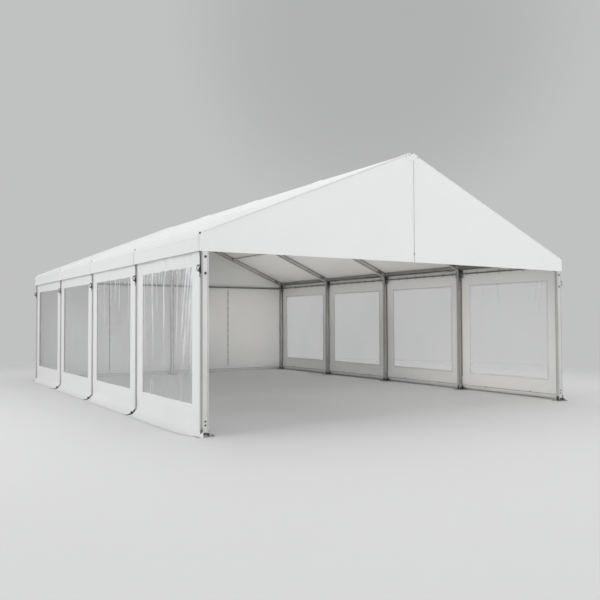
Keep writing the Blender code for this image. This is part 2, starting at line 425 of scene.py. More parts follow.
class Finish:
    """A material in the making: its name, and the sockets of its surface."""

    name: str

    def sockets(self, graph: ShaderGraph) -> dict[str, object]:
        """Works out the Principled sockets of the surface.

        Args:
            graph: The material's graph, where the nodes go.

        Returns:
            Value or link of each socket, by name.
        """
        raise NotImplementedError

    def make(self) -> bpy.types.Material:
        """Builds the material.

        Returns:
            The material.
        """
        graph, material = ShaderGraph.for_material(self.name)
        graph.surface(self.sockets(graph))
        return material


@dataclass(frozen=True)
class Weld:
    """A welded seam or hem: a straight line on the flat cloth."""

    along_u: bool
    width: float
    place: float


def welds(along_u: bool, width: float, *places: float) -> tuple[Weld, ...]:
    """Welds of one width that run the same way."""
    return tuple(Weld(along_u, width, place) for place in places)


@dataclass(frozen=True)
class CoatedFabric(Finish):
    """White coated polyester: fine weave under a satin coat, welded seams, some dust."""

    name: str
    welds: tuple[Weld, ...]
    folds: float = 1.6
    dust_height: float = 0.0
    window: Opening | None = None
    joints: tuple[float, ...] = ()
    colour: Colour = (0.855, 0.858, 0.858)
    shade: Colour = (0.79, 0.793, 0.795)
    weld_shade: Colour = (0.70, 0.70, 0.70)
    painted_valley_shade: Colour = (0.26, 0.26, 0.26)
    dust: Colour = (0.66, 0.65, 0.63)
    weave: float = 0.0012

    def sockets(self, graph: ShaderGraph) -> dict[str, object]:
        """Works out the sockets, over the cloth's own flat coordinates.

        Args:
            graph: The material's graph.

        Returns:
            The sockets by name.
        """
        cloth = graph.cloth()
        u, v, _ = graph.parts(cloth)
        seams = self._seams(u, v)
        clouds = graph.clouds(cloth, 0.9, 4.0, 0.6)
        mottle = graph.clouds(cloth, 14.0, 3.0, 0.6)
        colour = graph.mix(clouds.ramp(0.3, 0.8) * 0.35 + mottle * 0.15, self.colour, self.shade)
        if self.dust_height:
            speck = graph.clouds(graph.scaled(cloth, (1.0, 2.5, 1.0)), 5.0, 5.0, 0.65)
            low = v.ramp(0.0, self.dust_height, 1.0, 0.0) * (speck.ramp(0.2, 0.9) * 0.16 + 0.04)
            colour = graph.mix(low, colour, self.dust)
        colour = graph.mix(seams * 0.4, colour, self.weld_shade)
        # Painted shade: a dark line in the valley between the beads where two roof covers meet over
        # a frame, fading out near the gable ends.
        if self.joints:
            _, along, _ = graph.parts(graph.place())
            inner = abs(along).ramp(5.7, 5.8, 0.7, 0.0)
            for joint in self.joints:
                colour = graph.mix(v.line(joint, 0.008, 0.005) * inner, colour, self.painted_valley_shade)
        threads = (u * (math.tau / self.weave)).sine() * (v * (math.tau / self.weave)).sine()
        long_folds = graph.clouds(graph.scaled(cloth, (1.0, 0.35, 1.0)), 2.2, 2.0)
        cross_folds = graph.clouds(graph.scaled(cloth, (0.5, 1.4, 1.0)), 3.1, 1.0)
        height = threads * 0.012 + seams * 0.5
        height = height + (long_folds + cross_folds * 0.5) * self.folds
        return {
            "Base Color": colour,
            "Roughness": mottle * 0.12 + 0.40 - seams * 0.06,
            "Specular IOR Level": 0.45,
            "Normal": graph.bump(height),
        }

    def _seams(self, u: Wire, v: Wire) -> Wire:
        """Marks the welds and the frame of the window.

        Args:
            u: Place across the cloth.
            v: Place along the cloth.

        Returns:
            1 on the welds and less round the window, 0 elsewhere.
        """
        mask = u * 0.0
        for weld in self.welds:
            across = v if weld.along_u else u
            mask = mask.most(across.line(weld.place, weld.width / 2, 0.002))
        if self.window:
            u_low, u_high, v_low, v_high = self.window
            u_out = abs(u - (u_low + u_high) / 2) - (u_high - u_low) / 2
            v_out = abs(v - (v_low + v_high) / 2) - (v_high - v_low) / 2
            mask = mask.most(u_out.most(v_out).line(0.024, 0.018, 0.003) * 0.25)
        return mask


@dataclass(frozen=True)
class ClearFilm(Finish):
    """Clear window film: glossy, a little milky, with whiter creases and scuffs; the white on the
    creases is partly the folded film's own whitening and partly painted highlight.
    """

    name: str
    half_window: tuple[float, float] = (1.15, 1.1175)
    tint: Colour = (0.84, 0.85, 0.88)
    white: Colour = (0.96, 0.96, 0.96)
    milk: float = 0.125
    crease_milk_and_highlight: float = 0.95

    def sockets(self, graph: ShaderGraph) -> dict[str, object]:
        """Works out the sockets; the film is clear through its alpha.

        Args:
            graph: The material's graph.

        Returns:
            The sockets by name.
        """
        cloth = graph.cloth()
        u, v, _ = graph.parts(cloth)
        haze = graph.clouds(graph.scaled(cloth, (1.0, 0.5, 1.0)), 0.9, 3.0, 0.5)
        scuff = graph.clouds(graph.scaled(cloth, (30.0, 2.5, 1.0)), 2.0, 4.0, 0.7)
        crease = graph.wire(graph.node("ShaderNodeAttribute", {"attribute_name": "crease"}), "Fac")
        # The creases are whitened and made less clear: partly the folded film's own whitening,
        # partly a painted highlight that stands in for reflections along the folds.
        crease_white_and_highlight = crease * (scuff.ramp(0.3, 0.7) * 0.35 + 0.65)
        past_u, past_v = abs(u) - self.half_window[0], abs(v) - self.half_window[1]
        weld = past_u.most(past_v).line(0.02, 0.02, 0.002)
        alpha = haze.ramp(0.3, 0.8) * 0.05 + crease_white_and_highlight * self.crease_milk_and_highlight + weld * 0.06 + self.milk
        waves = graph.clouds(graph.scaled(cloth, (2.0, 0.5, 1.0)), 1.2, 2.0)
        return {
            "Base Color": graph.mix((crease_white_and_highlight + weld * 0.6).least(1.0), self.tint, self.white),
            "Roughness": haze * 0.10 + 0.10,
            "Specular IOR Level": 0.35,
            "Alpha": alpha.least(1.0),
            "Normal": graph.bump(waves * 3.0),
        }

    def make(self) -> bpy.types.Material:
        """Builds the material, blended with what is behind it.

        Returns:
            The material.
        """
        material = super().make()
        material.surface_render_method = "BLENDED"
        return material


class Grooves(Enum):
    """Where painted shade darkens a metal beside the keder grooves of an extrusion, and on its
    shaded faces.
    """

    NONE = "none"
    OPEN_POST = "open post"
    WALL_POST = "wall post"
    RAFTER = "rafter"
    UPRIGHT = "upright"
    PURLIN = "purlin"


@dataclass(frozen=True)
class MillAluminium(Finish):
    """Extruded aluminium as it leaves the mill: die lines, dull patches, faint marks."""

    name: str
    grain: tuple[float, float, float]
    grooves: Grooves = Grooves.NONE
    colour: Colour = (0.66, 0.655, 0.635)
    dull: Colour = (0.55, 0.545, 0.525)
    metallic: float = 0.55
    mark_shade: Colour = (0.26, 0.26, 0.25)
    groove_shade: Colour = (0.12, 0.12, 0.118)
    base_plate: Colour = (0.42, 0.42, 0.415)
    half_groove: float = 0.0055
    inset: float = 0.018
    upright_half: float = 0.05

    def sockets(self, graph: ShaderGraph) -> dict[str, object]:
        """Works out the sockets; the die lines run where the grain is coarse.

        Args:
            graph: The material's graph.

        Returns:
            The sockets by name.
        """
        place = graph.place()
        x, y, z = graph.parts(place)
        lines = graph.clouds(graph.scaled(place, self.grain), 1.0, 3.0, 0.6)
        patches = graph.clouds(place, 1.7, 5.0, 0.6)
        marks = graph.clouds(graph.scaled(place, (7.0, 7.0, 2.0)), 3.0, 6.0, 0.7)
        colour = graph.mix(patches.ramp(0.3, 0.75), self.colour, self.dull)
        colour = graph.mix(marks.ramp(0.62, 0.75) * 0.3, colour, self.mark_shade)
        if self.grooves is not Grooves.NONE:
            # Painted shade: darker lines along the grooves and darker shaded faces, from the shade
            # mask.
            colour = graph.mix(self._painted_shade_mask(x, y, z), colour, self.groove_shade)
            colour = graph.mix(z.ramp(0.0101, 0.0115, 1.0, 0.0), colour, self.base_plate)
        return {
            "Base Color": colour,
            "Metallic": self.metallic,
            "Roughness": lines * 0.16 + patches * 0.12 + 0.32,
            "Normal": graph.bump(lines * 0.05 + marks * 0.05),
        }

    def _painted_shade_mask(self, x: Wire, y: Wire, z: Wire) -> Wire:
        """Marks painted shade: dark lines along the grooves, and darker faces and edges of the
        posts where shade falls.

        Args:
            x: Place across the tent.
            y: Place along the tent.
            z: Height.

        Returns:
            Up to 1 where shade is painted, 0 elsewhere.
        """
        plan = Plan()
        depth, half = plan.profile_depth, self.half_groove
        if self.grooves is Grooves.UPRIGHT:
            return abs(x).line(self.upright_half - self.inset, half, 0.003)
        if self.grooves is Grooves.PURLIN:
            return z.line(plan.eave_bar_top - 0.088, 0.012, 0.003)
        if self.grooves is Grooves.RAFTER:
            down = (plan.ridge_height - abs(x) * plan.slope - z) / plan.pitch_length - plan.fabric
            outer = down.line(self.inset, half, 0.003)
            return outer.most(down.line(depth - self.inset, half, 0.003))
        inward = plan.span / 2 - abs(x)
        if self.grooves is Grooves.OPEN_POST:
            back = y - plan.front_face
            front = back.ramp(0.004, 0.006, 1.0, 0.0)
            outer = inward.ramp(0.0005, 0.0015, 1.0, 0.0)
            inner = inward.ramp(depth - 0.001, depth - 0.0003)
            keder = (back.line(0.014, 0.013, 0.002) * outer).most(
                inward.line(0.003, 0.003, 0.001) * front * 0.5
            )
            # Painted shade: half of the outer side face and the inner side face are darker, as they
            # fall in shade.
            return keder.most(back.ramp(0.058, 0.062) * outer * 0.5).most(
                inner * (back.line(0.03, 0.022, 0.006) * -0.2 + 0.5)
            )
        # Painted shade on the other posts: lines along the inner groove and beside the wall, darker
        # edges of the inner face, and a slightly darker outer face.
        inner = inward.line(depth - self.inset, half, 0.002) * 0.6
        by_wall = inward.line(0.031, 0.014, 0.002) * 0.75
        corners = abs(y.wrapped(plan.bay)).ramp(0.022, 0.026) * inward.ramp(0.128, 0.1295) * 0.75
        return inner.most(by_wall).most(corners).most(inward.ramp(0.001, 0.002, 0.12, 0.0))


@dataclass(frozen=True)
class GalvanisedSteel(Finish):
    """Zinc-coated steel with its spangle and duller, darker stains."""

    name: str
    colour: Colour = (0.30, 0.305, 0.31)
    stain: Colour = (0.12, 0.118, 0.115)
    metallic: float = 0.8

    def sockets(self, graph: ShaderGraph) -> dict[str, object]:
        """Works out the sockets.

        Args:
            graph: The material's graph.

        Returns:
            The sockets by name.
        """
        place = graph.place()
        cells = graph.node("ShaderNodeTexVoronoi", None, {"Vector": place, "Scale": 140.0})
        spangle, _, _ = graph.parts(graph.wire(cells, "Color"))
        stains = graph.clouds(place, 9.0, 5.0, 0.65)
        return {
            "Base Color": graph.mix(stains.ramp(0.45, 0.75) * 0.7, self.colour, self.stain),
            "Metallic": self.metallic,
            "Roughness": spangle * 0.14 + stains * 0.2 + 0.28,
            "Normal": graph.bump(stains * 0.06),
        }


@dataclass(frozen=True)
class Webbing(Finish):
    """Dark woven strap with a ribbed face and fluffed, paler edges."""

    name: str
    colour: Colour = (0.13, 0.132, 0.138)
    worn: Colour = (0.21, 0.21, 0.215)
    rib: float = 0.0018
    yarn: float = 0.004

    def sockets(self, graph: ShaderGraph) -> dict[str, object]:
        """Works out the sockets.

        Args:
            graph: The material's graph.

        Returns:
            The sockets by name.
        """
        place = graph.place()
        _, y, z = graph.parts(place)
        ribs = (z * (math.tau / self.rib)).sine() * (y * (math.tau / self.yarn)).sine()
        wear = graph.clouds(place, 60.0, 4.0, 0.7)
        return {
            "Base Color": graph.mix(wear.ramp(0.45, 0.8), self.colour, self.worn),
            "Roughness": wear * 0.15 + 0.7,
            "Normal": graph.bump(ribs * 0.25 + wear * 0.1),
        }


@dataclass(frozen=True)
class BlackRubber(Finish):
    """Moulded black rubber and plastic, dusty and a little grey."""

    name: str
    colour: Colour = (0.02, 0.02, 0.02)
    dusty: Colour = (0.06, 0.059, 0.056)

    def sockets(self, graph: ShaderGraph) -> dict[str, object]:
        """Works out the sockets.

        Args:
            graph: The material's graph.

        Returns:
            The sockets by name.
        """
        place = graph.place()
        grain = graph.clouds(place, 420.0, 2.0)
        dust = graph.clouds(place, 24.0, 4.0, 0.6)
        return {
            "Base Color": graph.mix(dust.ramp(0.45, 0.8), self.colour, self.dusty),
            "Roughness": dust * 0.2 + 0.5,
            "Normal": graph.bump(grain * 0.05),
        }


ALONG_Z, ALONG_Y, ALONG_X = (420.0, 420.0, 1.5), (420.0, 1.5, 420.0), (1.5, 420.0, 420.0)
# Darker greys for shaded copies of the aluminium: painted shade on the purlins and rails inside the
# tent.
PURLIN_SHADED_GREYS = (0.34, 0.34, 0.325), (0.27, 0.27, 0.26)
RAIL_SHADED_GREYS = (0.22, 0.22, 0.215), (0.15, 0.15, 0.147)


class Look(Enum):
    """Every finish of the tent, with the record's slot that it belongs to."""

    ROOF = (
        CoatedFabric(
            "white_fabric_roof",
            welds(True, 0.006, 0.052, 2.948) + welds(False, 0.008, -4.953, 4.953),
            1.2,
            joints=(0.0, 3.0),
        ),
        Slot.FABRIC,
    )
    GABLE = CoatedFabric("white_fabric_gable", welds(False, 0.022, 0.018), 1.4), Slot.FABRIC
    WALL = (
        CoatedFabric(
            "white_fabric_wall",
            welds(False, 0.006, 0.052, 2.948) + welds(True, 0.008, 3.20),
            dust_height=0.7,
            window=(0.35, 2.65, 0.585, 2.82),
        ),
        Slot.FABRIC,
    )
    BACK_WALL = (
        CoatedFabric(
            "white_fabric_back_wall",
            welds(False, 0.02, -2.18, 2.18) + welds(True, 0.008, 3.08),
            dust_height=0.8,
        ),
        Slot.FABRIC,
    )
    FILM = ClearFilm("window_film"), Slot.FILM
    # A lit copy of the aluminium for the first frame's posts: brighter and less metallic, as
    # painted light.
    LIT_FRONT_POSTS = (
        MillAluminium(
            "aluminium_front_posts_painted_lit",
            ALONG_Z,
            Grooves.OPEN_POST,
            (0.66, 0.665, 0.655),
            (0.60, 0.605, 0.595),
            0.15,
        ),
        Slot.ALUMINIUM,
    )
    # The other posts get darker greys: a shaded copy of the aluminium, as painted shade.
    POSTS = (
        MillAluminium(
            "aluminium_posts_painted_shade", ALONG_Z, Grooves.WALL_POST, (0.54, 0.535, 0.515), (0.45, 0.445, 0.43)
        ),
        Slot.ALUMINIUM,
    )
    UPRIGHT = MillAluminium("aluminium_upright", ALONG_Z, Grooves.UPRIGHT), Slot.ALUMINIUM
    RAFTERS = (
        MillAluminium("aluminium_rafters", (1.5, 420.0, 60.0), Grooves.RAFTER),
        Slot.ALUMINIUM,
    )
    PURLINS = (
        MillAluminium("aluminium_purlins_painted_shade", ALONG_Y, Grooves.PURLIN, *PURLIN_SHADED_GREYS),
        Slot.ALUMINIUM,
    )
    BACK_RAIL = (
        MillAluminium("aluminium_back_rail_painted_shade", ALONG_X, Grooves.NONE, *PURLIN_SHADED_GREYS),
        Slot.ALUMINIUM,
    )
    RAILS = MillAluminium("aluminium_rails_painted_shade", ALONG_Y, Grooves.NONE, *RAIL_SHADED_GREYS), Slot.ALUMINIUM
    BARS = MillAluminium("aluminium_bars", ALONG_Y), Slot.ALUMINIUM
    STEEL = GalvanisedSteel("galvanised_steel"), Slot.STEEL
    DARK_STEEL = (
        GalvanisedSteel("dark_steel", (0.07, 0.071, 0.073), (0.03, 0.03, 0.029), 0.5),
        Slot.STEEL,
    )
    WEBBING = Webbing("dark_webbing"), Slot.WEBBING
    RUBBER = BlackRubber("black_rubber"), Slot.RUBBER

    def __init__(self, finish: Finish, slot: Slot) -> None:
        """Takes a member's two values."""
        self.finish = finish
        self.slot = slot

    @cached_property
    def material(self) -> bpy.types.Material:
        """Its material, made when it is first asked for."""
        return self.finish.make()


class Form:
    """A shape in the making: parts that bmesh operators make, in one mesh."""

    def __init__(self) -> None:
        """Starts with nothing in it."""
        self.bm = bmesh.new()

    def join(self, part: bmesh.types.BMesh, place: Matrix | None = None) -> None:
        """Takes a finished part in.

        Args:
            part: The part, which is used up.
            place: Where it goes, if it isn't there already.
        """
        bmesh.ops.recalc_face_normals(part, faces=part.faces[:])
        self._take(part, place)
        part.free()

    def copy(self, other: "Form", place: Matrix) -> None:
        """Takes in a copy of another form at this place."""
        self._take(other.bm, place)

    def _take(self, part: bmesh.types.BMesh, place: Matrix | None) -> None:
        """Adds what is in the part.

        Args:
            part: What is added, and kept as it is.
            place: Where it goes, if it isn't there already.
        """
        mesh = bpy.data.meshes.new("part")
        part.to_mesh(mesh)
        if place is not None:
            mesh.transform(place)
        self.bm.from_mesh(mesh)
        bpy.data.meshes.remove(mesh)

    def slab(
        self, corner: Point, other: Point, bevel: float = 0.0, place: Matrix | None = None
    ) -> None:
        """A box.

        Args:
            corner: One of its corners.
            other: The corner opposite.
            bevel: Rounding of its edges.
            place: Where it goes, if it isn't there already.
        """
        part = bmesh.new()
        size = [abs(far - near) for near, far in zip(corner, other)]
        bmesh.ops.create_cube(part, size=1.0)
        bmesh.ops.scale(part, vec=size, verts=part.verts[:])
        bmesh.ops.translate(part, vec=(Vector(corner) + Vector(other)) / 2, verts=part.verts[:])
        self._round(part, part.edges[:], bevel)
        self.join(part, place)

    def block(
        self, x: float, z: float, half: tuple[float, float], near: float, far: float, bevel: float
    ) -> None:
        """A box about a line along Y.

        Args:
            x: Place of the line across.
            z: Height of the line.
            half: Half of the box's width and height.
            near: Y of one of its ends.
            far: Y of the other.
            bevel: Rounding of its edges.
        """
        wide, high = half
        self.slab((x - wide, near, z - high), (x + wide, far, z + high), bevel)

    def rod(
        self,
        start: Point,
        end: Point,
        radius: float,
        sides: int = 16,
        end_radius: float | None = None,
        bevel: float = 0.0,
    ) -> None:
        """A round bar between two points.

        Args:
            start: Middle of its first end.
            end: Middle of its other end.
            radius: Radius at the start.
            sides: Faces round it; 6 gives a bolt head.
            end_radius: Radius at the end, if it tapers.
            bevel: Rounding of the edges at its ends.
        """
        way = Vector(end) - Vector(start)
        part = bmesh.new()
        bmesh.ops.create_cone(
            part,
            cap_ends=True,
            segments=sides,
            radius1=radius,
            radius2=radius if end_radius is None else end_radius,
            depth=way.length,
        )
        rims = [edge for edge in part.edges if any(len(face.verts) > 4 for face in edge.link_faces)]
        self._round(part, rims, bevel)
        turn = way.to_track_quat("Z", "Y").to_matrix().to_4x4()
        middle = (Vector(start) + Vector(end)) / 2
        self.join(part, Matrix.Translation(middle) @ turn)

    def pin(
        self, at: Point, way: Point, start: float, end: float, *shape: float, bevel: float = 0.0
    ) -> None:
        """A round bar through a point.

        Args:
            at: The point.
            way: Direction of the bar.
            start: Where it begins, that way from the point.
            end: Where it ends.
            shape: Its radius, number of sides and end radius, as for a rod.
            bevel: Rounding of the edges at its ends.
        """
        ends = (Vector(at) + Vector(way) * reach for reach in (start, end))
        self.rod(*ends, *shape, bevel=bevel)

    def plate(
        self,
        outline: Iterable[Point],
        thickness: float,
        place: Matrix,
        corner: float = 0.0,
        bevel: float = 0.0,
    ) -> None:
        """A flat plate: its outline in the place's XY plane, thick along Z.

        Args:
            outline: Corners in order.
            thickness: How far it is extruded.
            place: Where the plate's own axes go.
            corner: Rounding of the outline's corners.
            bevel: Rounding of the rims of both faces.
        """
        part = bmesh.new()
        corners = [part.verts.new((x, y, 0)) for x, y in outline]
        part.faces.new(corners)
        self._round(part, corners, corner, 4, "VERTICES")
        made = bmesh.ops.extrude_face_region(part, geom=part.faces[:])["geom"]
        moved = [item for item in made if isinstance(item, bmesh.types.BMVert)]
        bmesh.ops.translate(part, vec=(0, 0, thickness), verts=moved)
        rims = [
            edge
            for edge in part.edges
            if abs(edge.verts[0].co.z - edge.verts[1].co.z) < thickness / 2
        ]
        self._round(part, rims, bevel)
        self.join(part, place)

    def ring(
        self,
        centre: Point,
        axis: Point,
        radius: float,
        wire: float,
        sides: int = 24,
        stretch: Point = (1, 1, 1),
    ) -> None:
        """A ring of round wire about an axis, spun and closed.

        Args:
            centre: Middle of the ring.
            axis: What it turns about.
            radius: From the middle to the middle of the wire.
            wire: Radius of the wire.
            sides: Steps of the spin.
            stretch: Scale along the ring's own axes, for an oval.
        """
        part = bmesh.new()
        circle = bmesh.ops.create_circle(part, segments=8, radius=wire)["verts"]
        upright = Matrix.Rotation(math.pi / 2, 3, "X")
        bmesh.ops.rotate(part, verts=circle, cent=(0, 0, 0), matrix=upright)
        bmesh.ops.translate(part, vec=(radius, 0, 0), verts=circle)
        bmesh.ops.spin(
            part,
            geom=part.verts[:] + part.edges[:],
            cent=(0, 0, 0),
            axis=UP,
            angle=math.tau,
            steps=sides,
            use_merge=True,
        )
        bmesh.ops.scale(part, vec=stretch, verts=part.verts[:])
        turn = Vector(axis).to_track_quat("Z", "Y").to_matrix().to_4x4()
        self.join(part, Matrix.Translation(Vector(centre)) @ turn)

    def strip(self, path: Sequence[Point], across: Point, thickness: float) -> None:
        """A flat strap that follows a path.

        Args:
            path: Its middle line.
            across: From its middle line to its edge.
            thickness: How thick it is, to one side.
        """
        part = bmesh.new()
        ends = [part.verts.new(Vector(path[0]) + Vector(across) * sign) for sign in (-1, 1)]
        edge = part.edges.new(ends)
        for before, after in zip(path, path[1:]):
            made = bmesh.ops.extrude_edge_only(part, edges=[edge])["geom"]
            moved = [item for item in made if isinstance(item, bmesh.types.BMVert)]
            edge = next(item for item in made if isinstance(item, bmesh.types.BMEdge))
            bmesh.ops.translate(part, vec=Vector(after) - Vector(before), verts=moved)
        bmesh.ops.recalc_face_normals(part, faces=part.faces[:])
        bmesh.ops.solidify(part, geom=part.faces[:], thickness=thickness)
        self.join(part)

    def bolt(self, centre: Point, axis: Point, across: float, proud: float = 0.008) -> None:
        """A bolt head on its washer.

        Args:
            centre: Where the washer lies on the surface.
            axis: Out of the surface, one unit long.
            across: Width of the head over its flats.
            proud: Height of the head.
        """
        washer = 0.0022
        top = washer + proud
        self.pin(centre, axis, 0.0, washer, across * 0.95, 20, bevel=0.0005)
        self.pin(centre, axis, washer, top, across / math.sqrt(3), 6, bevel=0.001)
        self.pin(centre, axis, top, top + 0.003, across * 0.33, 10)

    @staticmethod
    def _round(
        part: bmesh.types.BMesh,
        geometry: list[bmesh.types.BMEdge] | list[bmesh.types.BMVert],
        size: float,
        segments: int = 2,
        affect: str = "EDGES",
    ) -> None:
        """Rounds edges or corners, if a size is asked for.

        Args:
            part: What they belong to.
            geometry: The edges or corners.
            size: How far the rounding reaches.
            segments: Steps of the rounding.
            affect: EDGES or VERTICES.
        """
        if size:
            bmesh.ops.bevel(
                part,
                geom=geometry,
                offset=size,
                offset_type="OFFSET",
                segments=segments,
                profile=0.5,
                affect=affect,
                clamp_overlap=True,
                material=-1,
            )

    def mesh(self, name: str) -> bpy.types.Mesh:
        """Finishes the mesh, smooth but for its sharper edges.

        Args:
            name: Name of the mesh.

        Returns:
            The mesh; the form is used up.
        """
        mesh = bpy.data.meshes.new(name)
        self.bm.to_mesh(mesh)
        self.bm.free()
        mesh.shade_smooth()
        mesh.set_sharp_from_angle(angle=math.radians(34))
        return mesh


@dataclass
class SubAssembly:
    """One group of pieces: its sizes, and the methods that build and dress it."""

    plan: Plan

    @staticmethod
    def publish(
        name: str,
        shape: Form | bpy.types.Mesh,
        look: Look,
        *stands_for: str,
        slot: Slot | None = None,
    ) -> bpy.types.Object:
        """Makes the piece's object, and ties it to the frame.

        Args:
            name: Name of the piece.
            shape: Its form or mesh, already in place.
            look: Its finish.
            stands_for: CAD nodes that it replaces.
            slot: Not used.

        Returns:
            The object.
        """
        mesh = shape.mesh(name) if isinstance(shape, Form) else shape
        piece = bpy.data.objects.new(name, mesh)
        bpy.context.scene.collection.objects.link(piece)
        mesh.materials.append(look.material)
        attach(piece, "root")
        if stands_for:
            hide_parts(*stands_for)
        LOG.info("%s: %d faces", name, len(mesh.polygons))
        return piece

    def sheet(
        self,
        name: str,
        us: Sequence[float],
        vs: Sequence[float],
        place: Callable[[float, float], Vector],
        look: Look,
        stands_for: str,
        thickness: float = 0.003,
        opening: Opening | None = None,
        crease: Callable[[float, float], float] | None = None,
    ) -> bpy.types.Object:
        """One sheet of cloth, woven as a grid and laid in its place.

        Args:
            name: Name of the piece.
            us: Stations across the flat cloth, in metres.
            vs: Stations along it, in metres.
            place: Where a point of the flat cloth lies; its face looks along the
                cross product of the ways of u and v.
            look: Its finish.
            stands_for: CAD node that it replaces.
            thickness: Thickness, put on at its back.
            opening: Lowest and highest u, and lowest and highest v, of a window.
            crease: How sharply the cloth is creased at a point, from 0 to 1, kept
                as an attribute for its material.

        Returns:
            The object.
        """
        bm = bmesh.new()
        columns, rows = len(us) - 1, len(vs) - 1
        bmesh.ops.create_grid(bm, x_segments=columns, y_segments=rows, size=0.5)
        mark = bm.verts.layers.float.new("crease") if crease else None
        layer = bm.loops.layers.uv.new("cloth")
        flat = {
            vert: (us[round((vert.co.x + 0.5) * columns)], vs[round((vert.co.y + 0.5) * rows)])
            for vert in bm.verts
        }
        for face in bm.faces:
            for loop in face.loops:
                loop[layer].uv = flat[loop.vert]
        if opening:
            low_u, high_u, low_v, high_v = opening
            cut = []
            for face in bm.faces:
                u, v = (sum(flat[vert][axis] for vert in face.verts) / 4 for axis in (0, 1))
                if low_u < u < high_u and low_v < v < high_v:
                    cut.append(face)
            bmesh.ops.delete(bm, geom=cut, context="FACES")
        for vert in bm.verts:
            vert.co = place(*flat[vert])
            if crease:
                vert[mark] = crease(*flat[vert])
        mesh = bpy.data.meshes.new(name)
        bm.to_mesh(mesh)
        bm.free()
        mesh.shade_smooth()
        piece = self.publish(name, mesh, look, stands_for)
        thick = piece.modifiers.new("thickness", "SOLIDIFY")
        thick.thickness = thickness
        thick.offset = -1
        thick.use_even_offset = True
        return piece


@dataclass
class RoofCovers(SubAssembly):
    """One cover to a bay, from valance hem to valance hem, tight between its beads."""

    bead_out: float = 0.021
    bead_height: float = 0.014
    bead_half: float = 0.014
    valance_wave: float = 0.007
    hem_lift: float = 0.006
    slope_wave: float = 0.003

    @property
    def valance(self) -> float:
        """Height of the plain part of the valance, under the round eave."""
        return self.plan.eave_height - self.plan.valance_bottom

    @property
    def eave_turn(self) -> float:
        """Angle of the round eave."""
        return math.pi / 2 - math.atan(self.plan.slope)

    @property
    def half_length(self) -> float:
        """Cloth from the ridge down to the hem."""
        end = self.plan.eave_centre + self.plan.eave_radius * math.cos(self.eave_turn)
        return self.valance + self.plan.eave_radius * self.eave_turn + end * self.plan.pitch_length

    def section(self, u: float) -> tuple[float, float, Vector]:
        """A point of the cover's section.

        Args:
            u: Cloth from the ridge, to the right if positive.

        Returns:
            Its x and z, and the direction out of the cover.
        """
        plan = self.plan
        side = math.copysign(1.0, u)
        up = self.half_length - abs(u)
        if up < self.valance:
            return side * plan.valance_out, plan.valance_bottom + up, Vector((side, 0, 0))
        angle = (up - self.valance) / plan.eave_radius
        if angle < self.eave_turn:
            across, rise = math.cos(angle), math.sin(angle)
            x = side * (plan.eave_centre + plan.eave_radius * across)
            z = plan.eave_height + plan.eave_radius * rise
            return x, z, Vector((side * across, 0, rise))
        x = abs(u) / plan.pitch_length
        return side * x, plan.roof_height(x), Vector((side * plan.slope, 0, 1)).normalized()

    def sag(self, x: float, share: float) -> float:
        """Drop of the cover between two frames.

        Args:
            x: Place across the tent.
            share: Place between the frames, from -1 to 1.

        Returns:
            The drop.
        """
        plan = self.plan
        across = (plan.sag_start - abs(x)) / (plan.sag_start - plan.sag_end)
        if not 0 < across < 1 or abs(share) >= 1:
            return 0.0
        return plan.sag * math.sin(math.pi * across) * (1 - share * share)

    def build(self) -> None:
        """Makes the four covers."""
        for number, (first, second) in enumerate(self.plan.bays, 1):
            self._cover(number, first, second)

    def _cover(self, number: int, first: float, second: float) -> None:
        """Makes the cover of one bay.

        Args:
            number: Which bay it is, from the front.
            first: Y of the frame before it.
            second: Y of the frame behind it.
        """
        plan, length = self.plan, self.half_length
        eave = length - self.valance
        half = (plan.bay - plan.profile_width) / 2
        seed = float(number)
        at_front, at_back = number == 1, number == len(plan.bays)
        start = plan.front_face if at_front else first + plan.touch
        end = plan.back_face if at_back else second - plan.touch
        us = mirrored(
            (0.012, 4), (0.06, 4), (eave - 0.143, 44), (eave, 7),
            (length - 0.03, 5), (length - 0.012, 1), (length, 1),
        )
        vs = stations(
            start - first,
            *([(0.002, 3)] if at_front else []),
            (0.038, 9), (0.06, 2), (0.2, 5), (2.8, 26), (2.94, 5), (2.962, 2), (2.998, 9),
            (end - first, 3 if at_back else 1),
        )

        def place(u: float, v: float) -> Vector:
            """Lays the cover.

            Args:
                u: Cloth from the ridge.
                v: Cloth from the first frame.

            Returns:
                Where that point lies.
            """
            x, z, out = self.section(u)
            z -= self.sag(x, (v - plan.bay / 2) / half) + plan.dent(x)
            beads = (self.bead_out, plan.bay - self.bead_out)
            proud = self.bead_height * max(bump_over(v - bead, self.bead_half) for bead in beads)
            inside = smoothstep(0.02, 0.3, v) * smoothstep(0.02, 0.3, plan.bay - v)
            hang = (abs(u) - eave) / self.valance
            if hang > 0:
                wave = 0.4 + ripple(u * 0.3, v * 1.7, seed)
                proud += self.valance_wave * inside * hang * wave
                hem_seed = seed + (0.0 if u < 0 else 11.0)
                z += self.hem_lift * inside * hang * ripple(v * 0.9, 3.0, hem_seed)
            else:
                proud += self.slope_wave * inside * ripple(u * 0.8, v * 1.1, seed)
            return Vector((x, first + v, z)) + out * proud

        name = f"roof_fabric_{number}"
        piece = self.sheet(name, us, vs, place, Look.ROOF, f"roof_cover_{number}")
        frames = (number, number + 1)
        carriers = [f"rafter_{side.label}_{frame}" for side in Side for frame in frames]
        end - start
        2 * length


